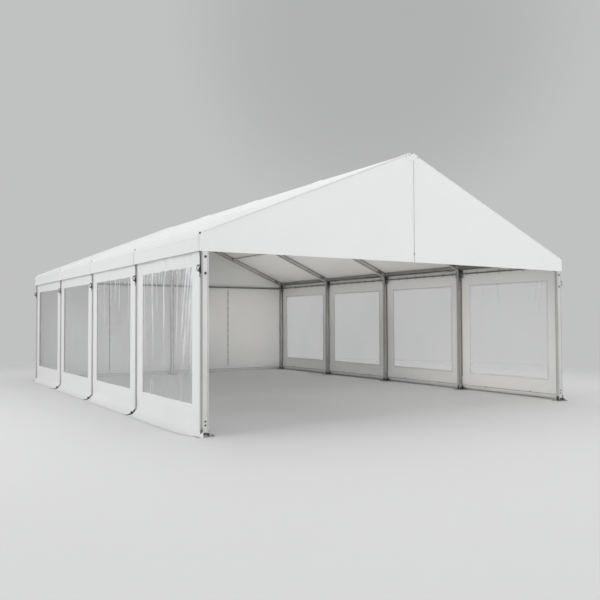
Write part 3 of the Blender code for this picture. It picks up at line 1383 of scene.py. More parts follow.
@dataclass
class GableCovers(SubAssembly):
    """The flat triangular covers over both ends, with a bow in their lower hem."""

    inset: float = 0.003
    bow: float = 0.012
    seam: float = 0.018
    seam_width: float = 0.016
    seam_height: float = 0.003
    wave: float = 0.007

    @property
    def half(self) -> float:
        """From the middle of a cover to its end."""
        return self.plan.valance_out - self.inset

    @property
    def area(self) -> float:
        """Works out the area of a flat cover in narrow slices.

        Returns:
            The area in square metres.
        """
        slices = 400
        wide = 2 * self.half / slices
        middles = (-self.half + (step + 0.5) * wide for step in range(slices))
        return sum((self.top(x) - self.hem(x)) * wide for x in middles)

    def top(self, x: float) -> float:
        """Height of the cover's upper edge.

        Args:
            x: Place across the tent.

        Returns:
            The height there.
        """
        plan = self.plan
        radius = plan.eave_radius - self.inset
        out = abs(x) - plan.eave_centre
        if out > radius * math.sin(math.atan(plan.slope)):
            return plan.eave_height + math.sqrt(max(radius * radius - out * out, 0.0))
        return plan.roof_height(x, self.inset) - plan.dent(x)

    def hem(self, x: float) -> float:
        """Height of the lower hem at x."""
        return self.plan.valance_bottom + self.bow * (1 - (x / self.half) ** 2)

    def build(self) -> None:
        """Makes the front and the back cover, with their trims."""
        plan = self.plan
        back = plan.back_face + 2 * plan.touch + 2 * plan.fabric
        self._cover(End.FRONT, plan.front_face - plan.touch - plan.fabric, 1)
        self._cover(End.BACK, back, len(plan.frame_ys))

    def _cover(self, end: End, face: float, frame: int) -> None:
        """Makes one cover.

        Args:
            end: The end it hangs at.
            face: Y of its outer face.
            frame: Number of the frame it hangs on.
        """
        plan, half, seed = self.plan, self.half, 21.0 + end.value
        bend = half - 0.07
        us = stations(
            -half, (-bend, 10), (-0.2, 56), (self.seam - 0.02, 6), (self.seam + 0.02, 6),
            (0.3, 4), (bend, 56), (half, 10),
        )
        vs = stations(0.0, (0.006, 1), (0.03, 2), (0.12, 4), (0.92, 22), (1.0, 4))

        def place(u: float, v: float) -> Vector:
            """Lays the cover.

            Args:
                u: Metres across, from its middle.
                v: Share of the way up.

            Returns:
                Where that point lies.
            """
            low, high = self.hem(u), self.top(u)
            z = low + (high - low) * v
            free = smoothstep(0.0, 0.12, high - z) * smoothstep(0.0, 0.4, plan.span / 2 - abs(u))
            free *= 0.35 + 0.65 * smoothstep(0.5, 0.0, z - low)
            free *= smoothstep(0.01, 0.3, abs(u - self.seam))
            wave = ripple(u * 0.9, z * 0.7, seed) + 0.4 * ripple(u * 3.1, z * 0.8, seed + 1) + 0.5
            seam = self.seam_height * bump_over(u - self.seam, self.seam_width / 2)
            proud = max(seam + free * self.wave * wave, 0.0)
            return Vector((-end.value * u, face + end.value * proud, z))

        name = f"gable_fabric_{end.label}"
        piece = self.sheet(name, us, vs, place, Look.GABLE, f"gable_cover_{end.label}")
        for corner in piece.data.uv_layers["cloth"].data:
            u, v = corner.uv
            low, high = self.hem(u), self.top(u)
            corner.uv = (u, low + (high - low) * v - plan.valance_bottom)
        self._trims(end, face)
        2 * half
        self.top(0) - plan.valance_bottom
        [f"rafter_{side.label}_{frame}" for side in Side]
        self.area

    def _trims(self, end: End, face: float) -> None:
        """Makes the zip down the middle seam, and the cord line along the slopes.

        Args:
            end: The end they are at.
            face: Y of the cover's outer face.
        """
        zips, cords = Form(), Form()
        x = self.seam * -end.value
        heights = (self.hem(self.seam) + 0.004, 4.0, 4.93)
        line = [(x, face + end.value * 0.0042, z) for z in heights]
        zips.strip(line, (0.003, 0, 0), 0.0012)
        zips.block(x, 3.1175, (0.009, 0.0175), face, face + end.value * 0.010, 0.003)
        y = face + end.value * 0.0052
        for side in Side:
            ends = ((side.value * x, y, self.plan.roof_height(x, 0.0085)) for x in (4.462, 0.05))
            cords.rod(*ends, 0.0022, 8)
        self.publish(f"gable_trims_{end.label}", zips, Look.WEBBING)
        self.publish(f"gable_cords_{end.label}", cords, Look.BARS)


@dataclass
class WallSection:
    """How a wall hangs: straight down, then out over the ground as a skirt."""

    reach: float
    top: float
    skirt_height: float = 0.36
    lip: float = 0.026
    clear: float = 0.004
    rim: float = 0.004
    steps: int = 24
    points: list[tuple[float, float, float]] = field(init=False)

    def __post_init__(self) -> None:
        """Works out points of the section, each with the cloth used up to it."""
        line = [(self.reach, self.clear + self.rim)]
        for step in range(self.steps, -1, -1):
            angle = math.pi / 2 * step / self.steps
            outward = (self.reach - self.lip) * (1 - math.cos(angle))
            rise = (self.skirt_height - self.clear) * (1 - math.sin(angle))
            line.append((outward, self.clear + rise))
        line.append((0.0, self.top))
        self.points = [(0.0, *line[0])]
        for before, after in zip(line, line[1:]):
            self.points.append((self.points[-1][0] + math.dist(before, after), *after))

    @property
    def length(self) -> float:
        """Cloth from the skirt's edge to the top."""
        return self.points[-1][0]

    def at(self, v: float) -> tuple[float, float]:
        """Finds a point of the section.

        Args:
            v: Cloth from the skirt's edge.

        Returns:
            How far out and how high the cloth is there.
        """
        index = bisect.bisect_left([point[0] for point in self.points], v)
        index = min(max(index, 1), len(self.points) - 1)
        before, after = self.points[index - 1], self.points[index]
        share = (v - before[0]) / (after[0] - before[0])
        return tuple(before[axis] + (after[axis] - before[axis]) * share for axis in (1, 2))

    def first_at(self, height: float) -> tuple[float, float]:
        """How far out and how high the cloth is where it first gets to this height."""
        places = (self.at(step * 0.002) for step in range(400))
        return next(place for place in places if place[1] >= height)

    def used_at(self, z: float) -> float:
        """Cloth from the skirt's edge up to this height on the straight part."""
        return self.length - (self.top - z)


@dataclass(frozen=True)
class Crease:
    """A fold that hangs down a window film from its top edge."""

    top: float
    slant: float
    reach: float
    strength: float
    width: float = 0.014
    start: float = -0.2

    def at(self, u: float, down: float, seed: float) -> float:
        """How sharp the fold is.

        Args:
            u: Place across the film, from its middle.
            down: Place down the film, from its top.
            seed: Number of the noise that makes it waver.

        Returns:
            Sharpness from 0 to 1.
        """
        line = self.top + self.slant * down + 0.018 * ripple(down * 1.3, self.top * 5, seed)
        near = (u - line) / self.width
        if abs(near) > 3:
            return 0.0
        fade = smoothstep(self.reach, self.reach * 0.45, down)
        fade *= smoothstep(self.start, self.start + 0.15, down)
        uneven = 0.65 + 0.5 * ripple(down * 3.0, self.top * 9, seed)
        return max(self.strength * math.exp(-near * near) * fade * uneven, 0.0)


def short_folds(strength: float, seed: float) -> list[Crease]:
    """Makes short folds all along the top edge of a film.

    Args:
        strength: How sharp they are.
        seed: Number of the noise that sets them out.

    Returns:
        The folds.
    """
    folds = []
    for step in range(15):
        top = -1.12 + step * 0.16 + 0.06 * ripple(step * 0.71, 0.3, seed)
        reach = 0.16 + 0.3 * abs(ripple(step * 0.93, 1.7, seed))
        folds.append(Crease(top, 0.1 * ripple(step * 1.3, 2.9, seed), reach, strength, 0.017))
    return folds


FILM_CREASES: dict[str, list[Crease]] = {
    "left_1": [
        Crease(-1.07, 0.02, 2.2, 0.55, 0.020),
        Crease(-0.90, 0.01, 1.2, 0.35, 0.016),
        Crease(-0.676, 0.03, 1.8, 0.95, 0.026),
        Crease(-0.45, 0.04, 0.9, 0.4, 0.018),
        Crease(-0.081, 0.0, 1.7, 1.0, 0.028),
        Crease(0.02, 0.02, 1.0, 0.4, 0.016),
        Crease(0.26, 0.05, 1.1, 0.5, 0.018),
        Crease(0.556, -0.06, 1.7, 0.9, 0.026),
        Crease(0.80, -0.16, 1.0, 0.6, 0.020),
        Crease(0.93, -0.20, 1.6, 0.95, 0.028),
        Crease(1.04, -0.16, 2.0, 1.0, 0.034),
        Crease(1.13, -0.13, 1.5, 1.0, 0.030),
        Crease(1.13, -0.02, 2.2, 0.9, 0.022),
        Crease(-1.35, 0.35, 3.2, 0.7, 0.016, 1.85),
        Crease(-0.10, -0.30, 3.4, 0.6, 0.014, 1.95),
        Crease(-0.62, 0.22, 3.2, 0.5, 0.014, 2.0),
        Crease(0.45, 0.12, 3.2, 0.5, 0.014, 1.9),
        *short_folds(0.9, 3.0),
    ],
    "left_2": [
        Crease(-1.0, 0.01, 0.9, 0.35, 0.016),
        Crease(-0.62, 0.0, 1.4, 0.7, 0.022),
        Crease(-0.14, 0.02, 1.1, 0.65, 0.022),
        Crease(0.18, 0.02, 0.7, 0.4, 0.018),
        Crease(0.46, -0.02, 0.9, 0.6, 0.020),
        Crease(1.04, -0.03, 1.3, 0.6, 0.020),
        *short_folds(0.6, 5.0),
    ],
    "left_3": [Crease(-0.7, 0.0, 0.7, 0.3), *short_folds(0.15, 7.0)],
    "left_4": [Crease(0.3, 0.0, 0.6, 0.15)],
    "right_1": [
        Crease(-1.05, 0.13, 0.9, 0.35),
        Crease(-0.90, 0.12, 0.7, 0.2),
        Crease(0.28, -0.08, 0.6, 0.2),
        Crease(0.75, 0.03, 1.6, 0.12),
    ],
    "right_2": [Crease(-0.8, 0.05, 0.8, 0.15), Crease(0.5, -0.03, 1.1, 0.10)],
    "right_3": [Crease(0.1, 0.02, 0.9, 0.12)],
    "right_4": [Crease(-0.4, -0.02, 0.7, 0.12)],
}
WALL_SLACK: dict[str, float] = {"left_1": 1.0, "left_2": 0.5, "left_3": 0.2}


@dataclass(frozen=True)
class Bay:
    """A bay of one side, whose wall runs to the right as it is seen from outside."""

    plan: Plan
    side: Side
    index: int

    @property
    def label(self) -> str:
        """How the names of its pieces end."""
        return f"{self.side.label}_{self.index + 1}"

    @property
    def slack(self) -> float:
        """How loosely the wall hangs, from 0 to 1."""
        return WALL_SLACK.get(self.label, 0.0)

    @property
    def gather(self) -> float:
        """How much the wall is gathered under its rail, from 0 to 1."""
        return 0.4 + 0.6 * self.slack

    @property
    def seed(self) -> float:
        """Number of its noise."""
        return 31.0 + self.index + (5 if self.side is Side.LEFT else 0)

    @property
    def at_end_frames(self) -> tuple[bool, bool]:
        """Whether its start, and its end, is at the first or the last frame."""
        at_frames = self.index == 0, self.index == len(self.plan.bays) - 1
        return at_frames if self.side is Side.RIGHT else at_frames[::-1]

    def point(self, outward: float, along: float, z: float) -> Vector:
        """Places a point of the wall.

        Args:
            outward: How far it is from the middle of the tent.
            along: How far it is along the bay.
            z: Its height.

        Returns:
            The point.
        """
        first, second = self.plan.bays[self.index]
        y = first + along if self.side is Side.RIGHT else second - along
        return Vector((self.side.value * outward, y, z))


@dataclass
class SideWalls(SubAssembly):
    """A wall in each bay of both sides, with its window and clear film."""

    margin: float = 0.35
    window_bottom: float = 0.48
    window_top: float = 2.715
    lap: float = 0.04
    film: float = 0.0015
    film_gap: float = 0.0006
    film_wave: float = 0.005
    film_fold: float = 0.006
    beside_post: float = 0.0353
    in_groove: float = 0.0233
    skirt_gap: float = 0.02
    end_reach: float = 0.15
    corner: float = 0.07
    bulge: float = 0.009
    pleat: float = 0.028
    top: float = 3.15
    lap_cloth: tuple[float, float] = (0.012, 0.235)
    hem_height: float = 0.125
    eyelet_height: float = 0.136
    eyelet_along: float = 0.675
    section: WallSection = field(init=False)

    def __post_init__(self) -> None:
        """Works out the walls' section."""
        self.section = WallSection(0.216, self.top, 0.19)

    def edge(self, outward: float, z: float, last: bool) -> float:
        """How far the wall stops short of a frame's centre line.

        Args:
            outward: How far out the cloth is there.
            z: Its height.
            last: Whether the frame is the first or the last one.

        Returns:
            The distance, less than 0 where the skirt goes past the frame.
        """
        if z > self.plan.wall_top:
            return self.beside_post
        if z > 0.2:
            leave = smoothstep(0.385, 0.355, z)
            return self.in_groove + (self.beside_post - self.in_groove) * leave
        target = -self.end_reach if last else self.skirt_gap
        beyond = self.beside_post + (target - self.beside_post) * smoothstep(0.2, 0.02, z)
        rim = outward - (self.section.reach - self.corner)
        if rim > 0:
            beyond += self.corner - math.sqrt(max(self.corner**2 - rim**2, 0.0))
        return beyond

    def relief(self, u: float, z: float, seed: float, gather: float) -> float:
        """How far the wall stands out of its plane.

        Args:
            u: Place across the bay.
            z: Height.
            seed: Number of the noise of this bay.
            gather: How much the wall is gathered under its rail, from 0 to 1.

        Returns:
            The distance, 0 at the posts and at the very top.
        """
        wide, below = self.plan.bay, self.top - z
        side = smoothstep(0.0, 0.45, u) * smoothstep(0.0, 0.45, wide - u)
        free = side * smoothstep(0.0, 0.3, below)
        swell = 0.55 + 0.45 * ripple(u * 0.7, z * 0.5, seed)
        near_side = smoothstep(0.02, 0.12, u) * smoothstep(0.02, 0.12, wide - u)
        top = near_side * smoothstep(2.35, 2.85, z) * smoothstep(0.0, 0.06, below)
        pleats = ripple(u * 5.5, z * 0.5, seed + 3) + 0.6 * ripple(u * 14.0, z * 0.7, seed + 4)
        return free * self.bulge * swell + gather * gather * top * self.pleat * pleats

    def build(self) -> None:
        """Makes the eight walls and their films."""
        for side in Side:
            for index in range(len(self.plan.bays)):
                bay = Bay(self.plan, side, index)
                self._wall(bay)
                self._film(bay)
        self._skirt_laps_and_gap_shade()
        self._inner_shade_strips()
        self._eyelets()

    def _wall(self, bay: Bay) -> None:
        """Makes the wall of one bay.

        Args:
            bay: The bay.
        """
        plan, section, margin = self.plan, self.section, self.margin
        seed, slack = bay.seed, bay.slack
        at_start, at_end = bay.at_end_frames
        half, window = plan.bay / 2, plan.bay / 2 - margin
        cells = 130 if slack > 0.3 else 52
        rim = (window + 0.03, 3), (half - 0.06, 7), (half - 0.02, 3), (half, 2)
        us = [half + u for u in mirrored((window, cells), *rim)]
        low_v, high_v = section.used_at(self.window_bottom), section.used_at(self.window_top)
        top = section.length
        vs = stations(
            0.0, (0.01, 1), (0.026, 2), (0.2, 12), (0.465, 12), (low_v - 0.03, 5), (low_v, 3),
            (high_v, 44), (high_v + 0.03, 3), (top - 0.066, 10), (top - 0.061, 1),
            (top - 0.012, 3), (top, 2),
        )

        def spread(u: float, outward: float, z: float) -> float:
            """Finds where a column lies in a row.

            Args:
                u: The column.
                outward: How far out the row is.
                z: How high the row is.

            Returns:
                Its place along the bay.
            """
            begin, finish = self.edge(outward, z, at_start), self.edge(outward, z, at_end)
            if u < margin:
                return begin + (margin - begin) * u / margin
            if u > plan.bay - margin:
                return plan.bay - finish - (margin - finish) * (plan.bay - u) / margin
            return u

        def place(u: float, v: float) -> Vector:
            """Lays the wall.

            Args:
                u: Cloth across the bay.
                v: Cloth up from the skirt's edge.

            Returns:
                Where that point lies.
            """
            outward, z = section.at(v)
            along = spread(u, outward, z)
            low = smoothstep(0.34, 0.02, z)
            out = outward + self.relief(u, z, seed, bay.gather)
            out += low * (0.010 * ripple(u * 2.3, v * 1.5, seed + 9) - 0.008)
            beyond = max(-along if at_start else -1.0, along - plan.bay if at_end else -1.0)
            z *= 1 - 0.5 * smoothstep(0.0, 0.12, beyond)
            out *= 1 - 0.55 * smoothstep(-0.6, 0.05, beyond) * smoothstep(0.24, 0.12, z)
            if z < 0.3:
                z += 0.004 * max(ripple(u * 1.9, 1.0, seed + 13), 0.0) * smoothstep(0.14, 0.0, v)
                z += low * 0.002 * abs(ripple(u * 5.1, v * 7.0, seed))
            inside = smoothstep(0.04, 0.5, u) * smoothstep(0.04, 0.5, plan.bay - u)
            wobble = inside * smoothstep(0.4, 0.6, z) * smoothstep(3.0, 2.8, z)
            wobble *= 0.003 + 0.016 * slack
            along += wobble * ripple(u * 2.0, z * (2.0 + 3.0 * slack), seed + 15)
            z += wobble * ripple(u * (1.7 + 4.0 * slack), z * 2.3, seed + 17)
            return bay.point(plan.wall_out + out, along, z)

        piece = self.sheet(
            f"wall_fabric_{bay.label}",
            us,
            vs,
            place,
            Look.WALL,
            f"side_wall_{bay.label}",
            opening=(margin, plan.bay - margin, low_v, high_v),
        )
        wide, past = plan.bay - 2 * self.in_groove, self.end_reach if at_start or at_end else 0.0
        hole = 2 * window * (self.window_top - self.window_bottom)
        wide + past
        f"wall_bars_{bay.side.label}"
        wide * section.length + 0.17 * past - hole

    def _film(self, bay: Bay) -> None:
        """Makes the clear film behind a window, creased by the way it was folded.

        Args:
            bay: The bay it is in.
        """
        plan, seed = self.plan, bay.seed
        half_u = plan.bay / 2 - self.margin + self.lap
        half_v = (self.window_top - self.window_bottom) / 2 + self.lap
        middle_z = (self.window_bottom + self.window_top) / 2
        outer = plan.wall_out - plan.fabric - self.film_gap

        def crease(u: float, v: float) -> float:
            """How sharply the film is folded at (u, v)."""
            folds = FILM_CREASES[bay.label]
            return min(sum(fold.at(u, half_v - v, seed) for fold in folds), 1.0)

        def place(u: float, v: float) -> Vector:
            """Lays the film.

            Args:
                u: Cloth across, from its middle.
                v: Cloth up, from its middle.

            Returns:
                Where that point lies.
            """
            along, z = plan.bay / 2 + u, middle_z + v
            free = smoothstep(0.0, 0.12, half_u - self.lap - abs(u))
            free *= smoothstep(0.0, 0.12, half_v - self.lap - abs(v))
            wave = self.film_wave * ripple(u * 2.2, v * 0.6, seed + 21)
            wave += self.film_fold * crease(u, v)
            out = outer + self.relief(along, z, seed, bay.gather) + free * wave
            return bay.point(out, along, z)

        piece = self.sheet(
            f"clear_film_{bay.label}",
            mirrored((half_u - 0.05, 200), (half_u, 3)),
            mirrored((half_v - 0.05, 44), (half_v, 3)),
            place,
            Look.FILM,
            f"window_film_{bay.label}",
            self.film,
            crease=crease,
        )
        carrier = f"wall_fabric_{bay.label}"

    def _skirt_laps_and_gap_shade(self) -> None:
        """Makes the dark rubber laps at the joint between two skirts: partly the real laps, partly
        painted shadow of the gap under the skirts' edges.
        """
        form = Form()
        steps = 14
        low, high = self.lap_cloth
        for side in Side:
            for y in self.plan.frame_ys[1:-1]:
                path = []
                for step in range(steps + 1):
                    outward, z = self.section.at(low + (high - low) * step / steps)
                    x = self.plan.wall_out + max(outward, 0.0185) + 0.004
                    path.append((side.value * x, y, max(z, 0.006) + 0.003))
                form.strip(path, (0, 0.032, 0), 0.003)
                form.strip(path[3:10], (0, 0.050, 0), 0.004)
                form.pin(path[8], (side.value * 0.02, 0, 0.03), 0, 1, 0.016, 12, bevel=0.003)
        self.publish("skirt_laps_and_gap_shade", form, Look.RUBBER)

    def _inner_shade_strips(self) -> None:
        """Makes dark strips inside each wall as painted shade: a line along the hem of the ground
        flap, and a line beside each post where the keder is.
        """
        plan, height = self.plan, self.hem_height
        form = Form()
        hem_out = plan.wall_out + self.section.first_at(height)[0] - 0.012
        keder_out = plan.wall_out - plan.fabric - 0.002
        for side in Side:
            for first, second in plan.bays:
                x = side.value * hem_out
                hem = [(x, first + 0.09, height), (x, second - 0.09, height)]
                form.strip(hem, (0, 0, 0.004), 0.0015)
                x = side.value * keder_out
                for y in (first + 0.042, second - 0.042):
                    form.strip([(x, y, 0.36), (x, y, 3.0)], (0, 0.006, 0), 0.002)
        self.publish("inner_shade_strips", form, Look.WEBBING)

    def _eyelets(self) -> None:
        """Makes two eyelets low in each wall, on its inner face."""
        form = Form()
        outward, z = self.section.first_at(self.eyelet_height)
        x = self.plan.wall_out + outward - 0.009
        for side in Side:
            for first, second in self.plan.bays:
                for along in (-self.eyelet_along, self.eyelet_along):
                    centre = (side.value * x, (first + second) / 2 + along, z)
                    form.ring(centre, (side.value * 0.87, 0, 0.49), 0.013, 0.0045, 18)
        self.publish("wall_eyelets", form, Look.DARK_STEEL)


@dataclass
class BackWall(SubAssembly):
    """The plain wall across the back gable, in two halves that meet at the upright."""

    middle_gap: float = 0.0003
    seam: float = 2.18
    seam_half: float = 0.011
    lacing_step: float = 0.53
    lacing_start: float = 0.43
    lacing_loops: int = 11
    section: WallSection = field(init=False)

    def __post_init__(self) -> None:
        """Works out the wall's section."""
        self.section = WallSection(0.1307, self.plan.wall_top)

    def build(self) -> None:
        """Makes both halves and the lacing of their seams."""
        face = self.plan.back_face + self.plan.touch + self.plan.fabric
        for side in Side:
            self._half(side, face)
        self._lacing(face - self.plan.fabric)

    def _half(self, side: Side, face: float) -> None:
        """Makes one half.

        Args:
            side: The side it is on.
            face: Y of its outer face.
        """
        section, half, seed = self.section, self.plan.span / 2, 51.0 + side.value
        low, high = sorted((-side.value * self.middle_gap, -side.value * half))
        seam = -side.value * self.seam
        us = stations(
            low, (low + 0.03, 2), (seam - 0.02, 30), (seam + 0.02, 6), (high - 0.03, 30), (high, 2)
        )
        vs = stations(
            0.0, (0.01, 1), (0.026, 2), (0.2, 10), (0.465, 10),
            (section.length - 0.3, 30), (section.length - 0.04, 6), (section.length, 3),
        )

        def place(u: float, v: float) -> Vector:
            """Lays this half.

            Args:
                u: Cloth across, from the middle of the wall.
                v: Cloth up from the skirt's edge.

            Returns:
                Where that point lies.
            """
            outward, z = section.at(v)
            free = smoothstep(0.0, 0.5, abs(u)) * smoothstep(0.0, 0.5, half - abs(u))
            free *= smoothstep(2.9, 2.4, z) * smoothstep(0.0, 0.3, z)
            out = outward + free * 0.012 * (0.5 + 0.5 * ripple(u * 0.8, z * 0.5, seed))
            out += free * 0.004 * ripple(u * 2.9, z * 0.5, seed + 1)
            if z > 0.3:
                out += 0.003 * bump_over(u - seam, self.seam_half)
            z += smoothstep(0.3, 0.0, z) * 0.008 * abs(ripple(u * 2.2, v * 3.0, seed + 2))
            z += 0.006 * smoothstep(0.12, 0.0, v)
            return Vector((-u, face + out, z))

        name = f"back_fabric_{side.label}"
        piece = self.sheet(name, us, vs, place, Look.BACK_WALL, f"back_wall_{side.label}")

    def _lacing(self, inner: float) -> None:
        """Makes the loops that close each seam, seen from inside.

        Args:
            inner: Y of the wall's inner face.
        """
        form = Form()
        y, low_y = inner - 0.0032, inner + 0.02
        for x in (-self.seam, self.seam):
            form.strip([(x, y, 0.20), (x, y, 2.98)], (0.006, 0, 0), 0.001)
            reach = math.copysign(2.1, x)
            low_line = [(x - reach, low_y, 0.10), (x + reach, low_y, 0.10)]
            form.strip(low_line, (0, 0, 0.004), 0.001)
            for step in range(self.lacing_loops):
                z = self.lacing_start + step * self.lacing_step / 2
                form.ring((x, inner - 0.004, z), AHEAD, 0.013, 0.0035, 14)
                form.block(x, z, (0.017, 0.008), inner - 0.009, inner - 0.003, 0.002)
        self.publish("back_wall_lacing", form, Look.RUBBER)


@dataclass
class PortalFrames(SubAssembly):
    """The CAD posts, rafters and upright, in their metal."""

    looks: tuple[tuple[str, Look], ...] = (
        ("post_left_1", Look.LIT_FRONT_POSTS),
        ("post_right_1", Look.LIT_FRONT_POSTS),
        ("post_", Look.POSTS),
        ("rafter_", Look.RAFTERS),
        ("gable_upright", Look.UPRIGHT),
    )

    def build(self) -> None:
        """Gives each node of the frames the first look that its name begins with."""
        for name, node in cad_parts.items():
            look = next((look for start, look in self.looks if name.startswith(start)), None)
            if look:
                for slot in node.material_slots:
                    slot.material = look.material
                LOG.info("%s: carried over", node.name)


@dataclass
class Bars(SubAssembly):
    """Purlins and wall rails: a bar to each bay, in end plates on the frames."""

    plate: float = 0.006
    plate_inset: float = 0.002
    corner: float = 0.006
    off: float = 0.0002
    cleat: float = 0.005
    ridge_half: tuple[float, float] = (0.03, 0.05)
    eave_half: tuple[float, float] = (0.03, 0.047)
    rail_half: tuple[float, float] = (0.015, 0.016)
    eave_out: float = 4.405
    tube_out: float = 2.35
    tube_radius: float = 0.024
    upright_half: float = 0.0503

    def build(self) -> None:
        """Makes every line of bars."""
        plan = self.plan
        wide, high = self.ridge_half
        ridge_z = plan.roof_height(wide, plan.fabric + plan.touch) - high
        self._line("ridge_bars", 0.0, ridge_z, self.ridge_half, "ridge_purlin", Look.BARS)
        for side in Side:
            sign, label = side.value, side.label
            x, z = sign * self.eave_out, plan.eave_bar_top - 0.053
            node = f"eave_purlin_{label}"
            self._line(f"eave_bars_{label}", x, z, self.eave_half, node, Look.PURLINS)
            x, z = sign * plan.rail_out, plan.rail_height - 0.006
            node = f"wall_rail_{label}"
            self._line(f"wall_bars_{label}", x, z, self.rail_half, node, Look.RAILS)
            self._tubes(side)
        self._back_rail()

    def _spans(self) -> list[tuple[float, float]]:
        """Where each bay's bars begin and end, between the faces of the frames."""
        half = self.plan.profile_width / 2 + self.plan.touch
        return [(first + half, second - half) for first, second in self.plan.bays]

    def _line(
        self, name: str, x: float, z: float, half: tuple[float, float], node: str, look: Look
    ) -> None:
        """Makes a line of rectangular bars, and the angle cleats under their ends.

        Args:
            name: Name of the bars' piece.
            x: Place of the line across the tent.
            z: Its height.
            half: Half of the bars' width and height.
            node: CAD node that the bars replace.
            look: Their finish.
        """
        bars, cleats = Form(), Form()
        (wide, high), inset, web = half, self.plate_inset, self.cleat
        plate, flange, under = (wide - inset, high - inset), wide * 0.8, z - high - 0.0004
        for start, end in self._spans():
            bars.block(x, z, half, start + self.plate, end - self.plate, self.corner)
            for y, way in ((start, 1), (end, -1)):
                near, far = y + way * self.off, y + way * web
                bars.block(x, z, plate, y, y + way * self.plate, 0.001)
                cleats.block(x, under - web / 2, (flange, web / 2), near, y + way * 0.07, 0.001)
                cleats.block(x, under - 0.027, (flange, 0.023), near, far, 0.001)
                cleats.bolt((x, far, under - 0.028), (0, way, 0), 0.017)
                cleats.bolt((x, y + way * 0.045, under - web), DOWN, 0.013, 0.006)
        self.publish(name, bars, look, node)
        self.publish(name.replace("bars", "cleats"), cleats, Look.STEEL)

    def _tubes(self, side: Side) -> None:
        """Makes the middle purlin of one slope: round tubes in sockets.

        Args:
            side: The side of the slope.
        """
        plan, radius = self.plan, self.tube_radius
        x, below = side.value * self.tube_out, plan.fabric + plan.touch + radius
        z = plan.roof_height(x, below) - plan.sag
        tubes, sockets = Form(), Form()
        for start, end in self._spans():
            tubes.rod((x, start + 0.001, z), (x, end - 0.001, z), radius, 28)
            for y, way in ((start, 1), (end, -1)):
                out = (0, way, 0)
                flange, socket = (x, y, z - 0.001), (x, y, z - 0.003)
                sockets.pin(flange, out, self.off, self.plate, 0.04, 24, bevel=0.001)
                sockets.pin(socket, out, self.plate, 0.06, 0.0275, 24, bevel=0.001)
        node = f"middle_purlin_{side.label}"
        self.publish(f"middle_tubes_{side.label}", tubes, Look.BARS, node)
        self.publish(f"middle_sockets_{side.label}", sockets, Look.STEEL)

    def _back_rail(self) -> None:
        """Makes the rail across the back gable, from each post to the upright."""
        plan = self.plan
        y, z = plan.frame_ys[-1], plan.rail_height
        bars, cleats = Form(), Form()
        reach = plan.span / 2 - plan.profile_depth - plan.touch
        top = z - 0.0204
        for side in Side:
            inner, outer, track = (side.value * x for x in (self.upright_half, reach, 0.07))
            bars.slab((inner, y - 0.015, z - 0.02), (outer, y + 0.015, z + 0.02), 0.004)
            low = (inner + track, y - 0.012, z - 0.042)
            cleats.slab(low, (outer - track, y + 0.012, top), 0.003)
            for x, way in ((inner, side.value), (outer, -side.value)):
                cleats.slab((x, y - 0.017, z - 0.026), (x + way * 0.06, y + 0.017, top), 0.001)
                cleats.bolt((x + way * 0.035, y, z - 0.026), DOWN, 0.013, 0.006)
        self.publish("back_wall_bars", bars, Look.BACK_RAIL, "gable_rail")
        self.publish("back_wall_cleats", cleats, Look.DARK_STEEL)


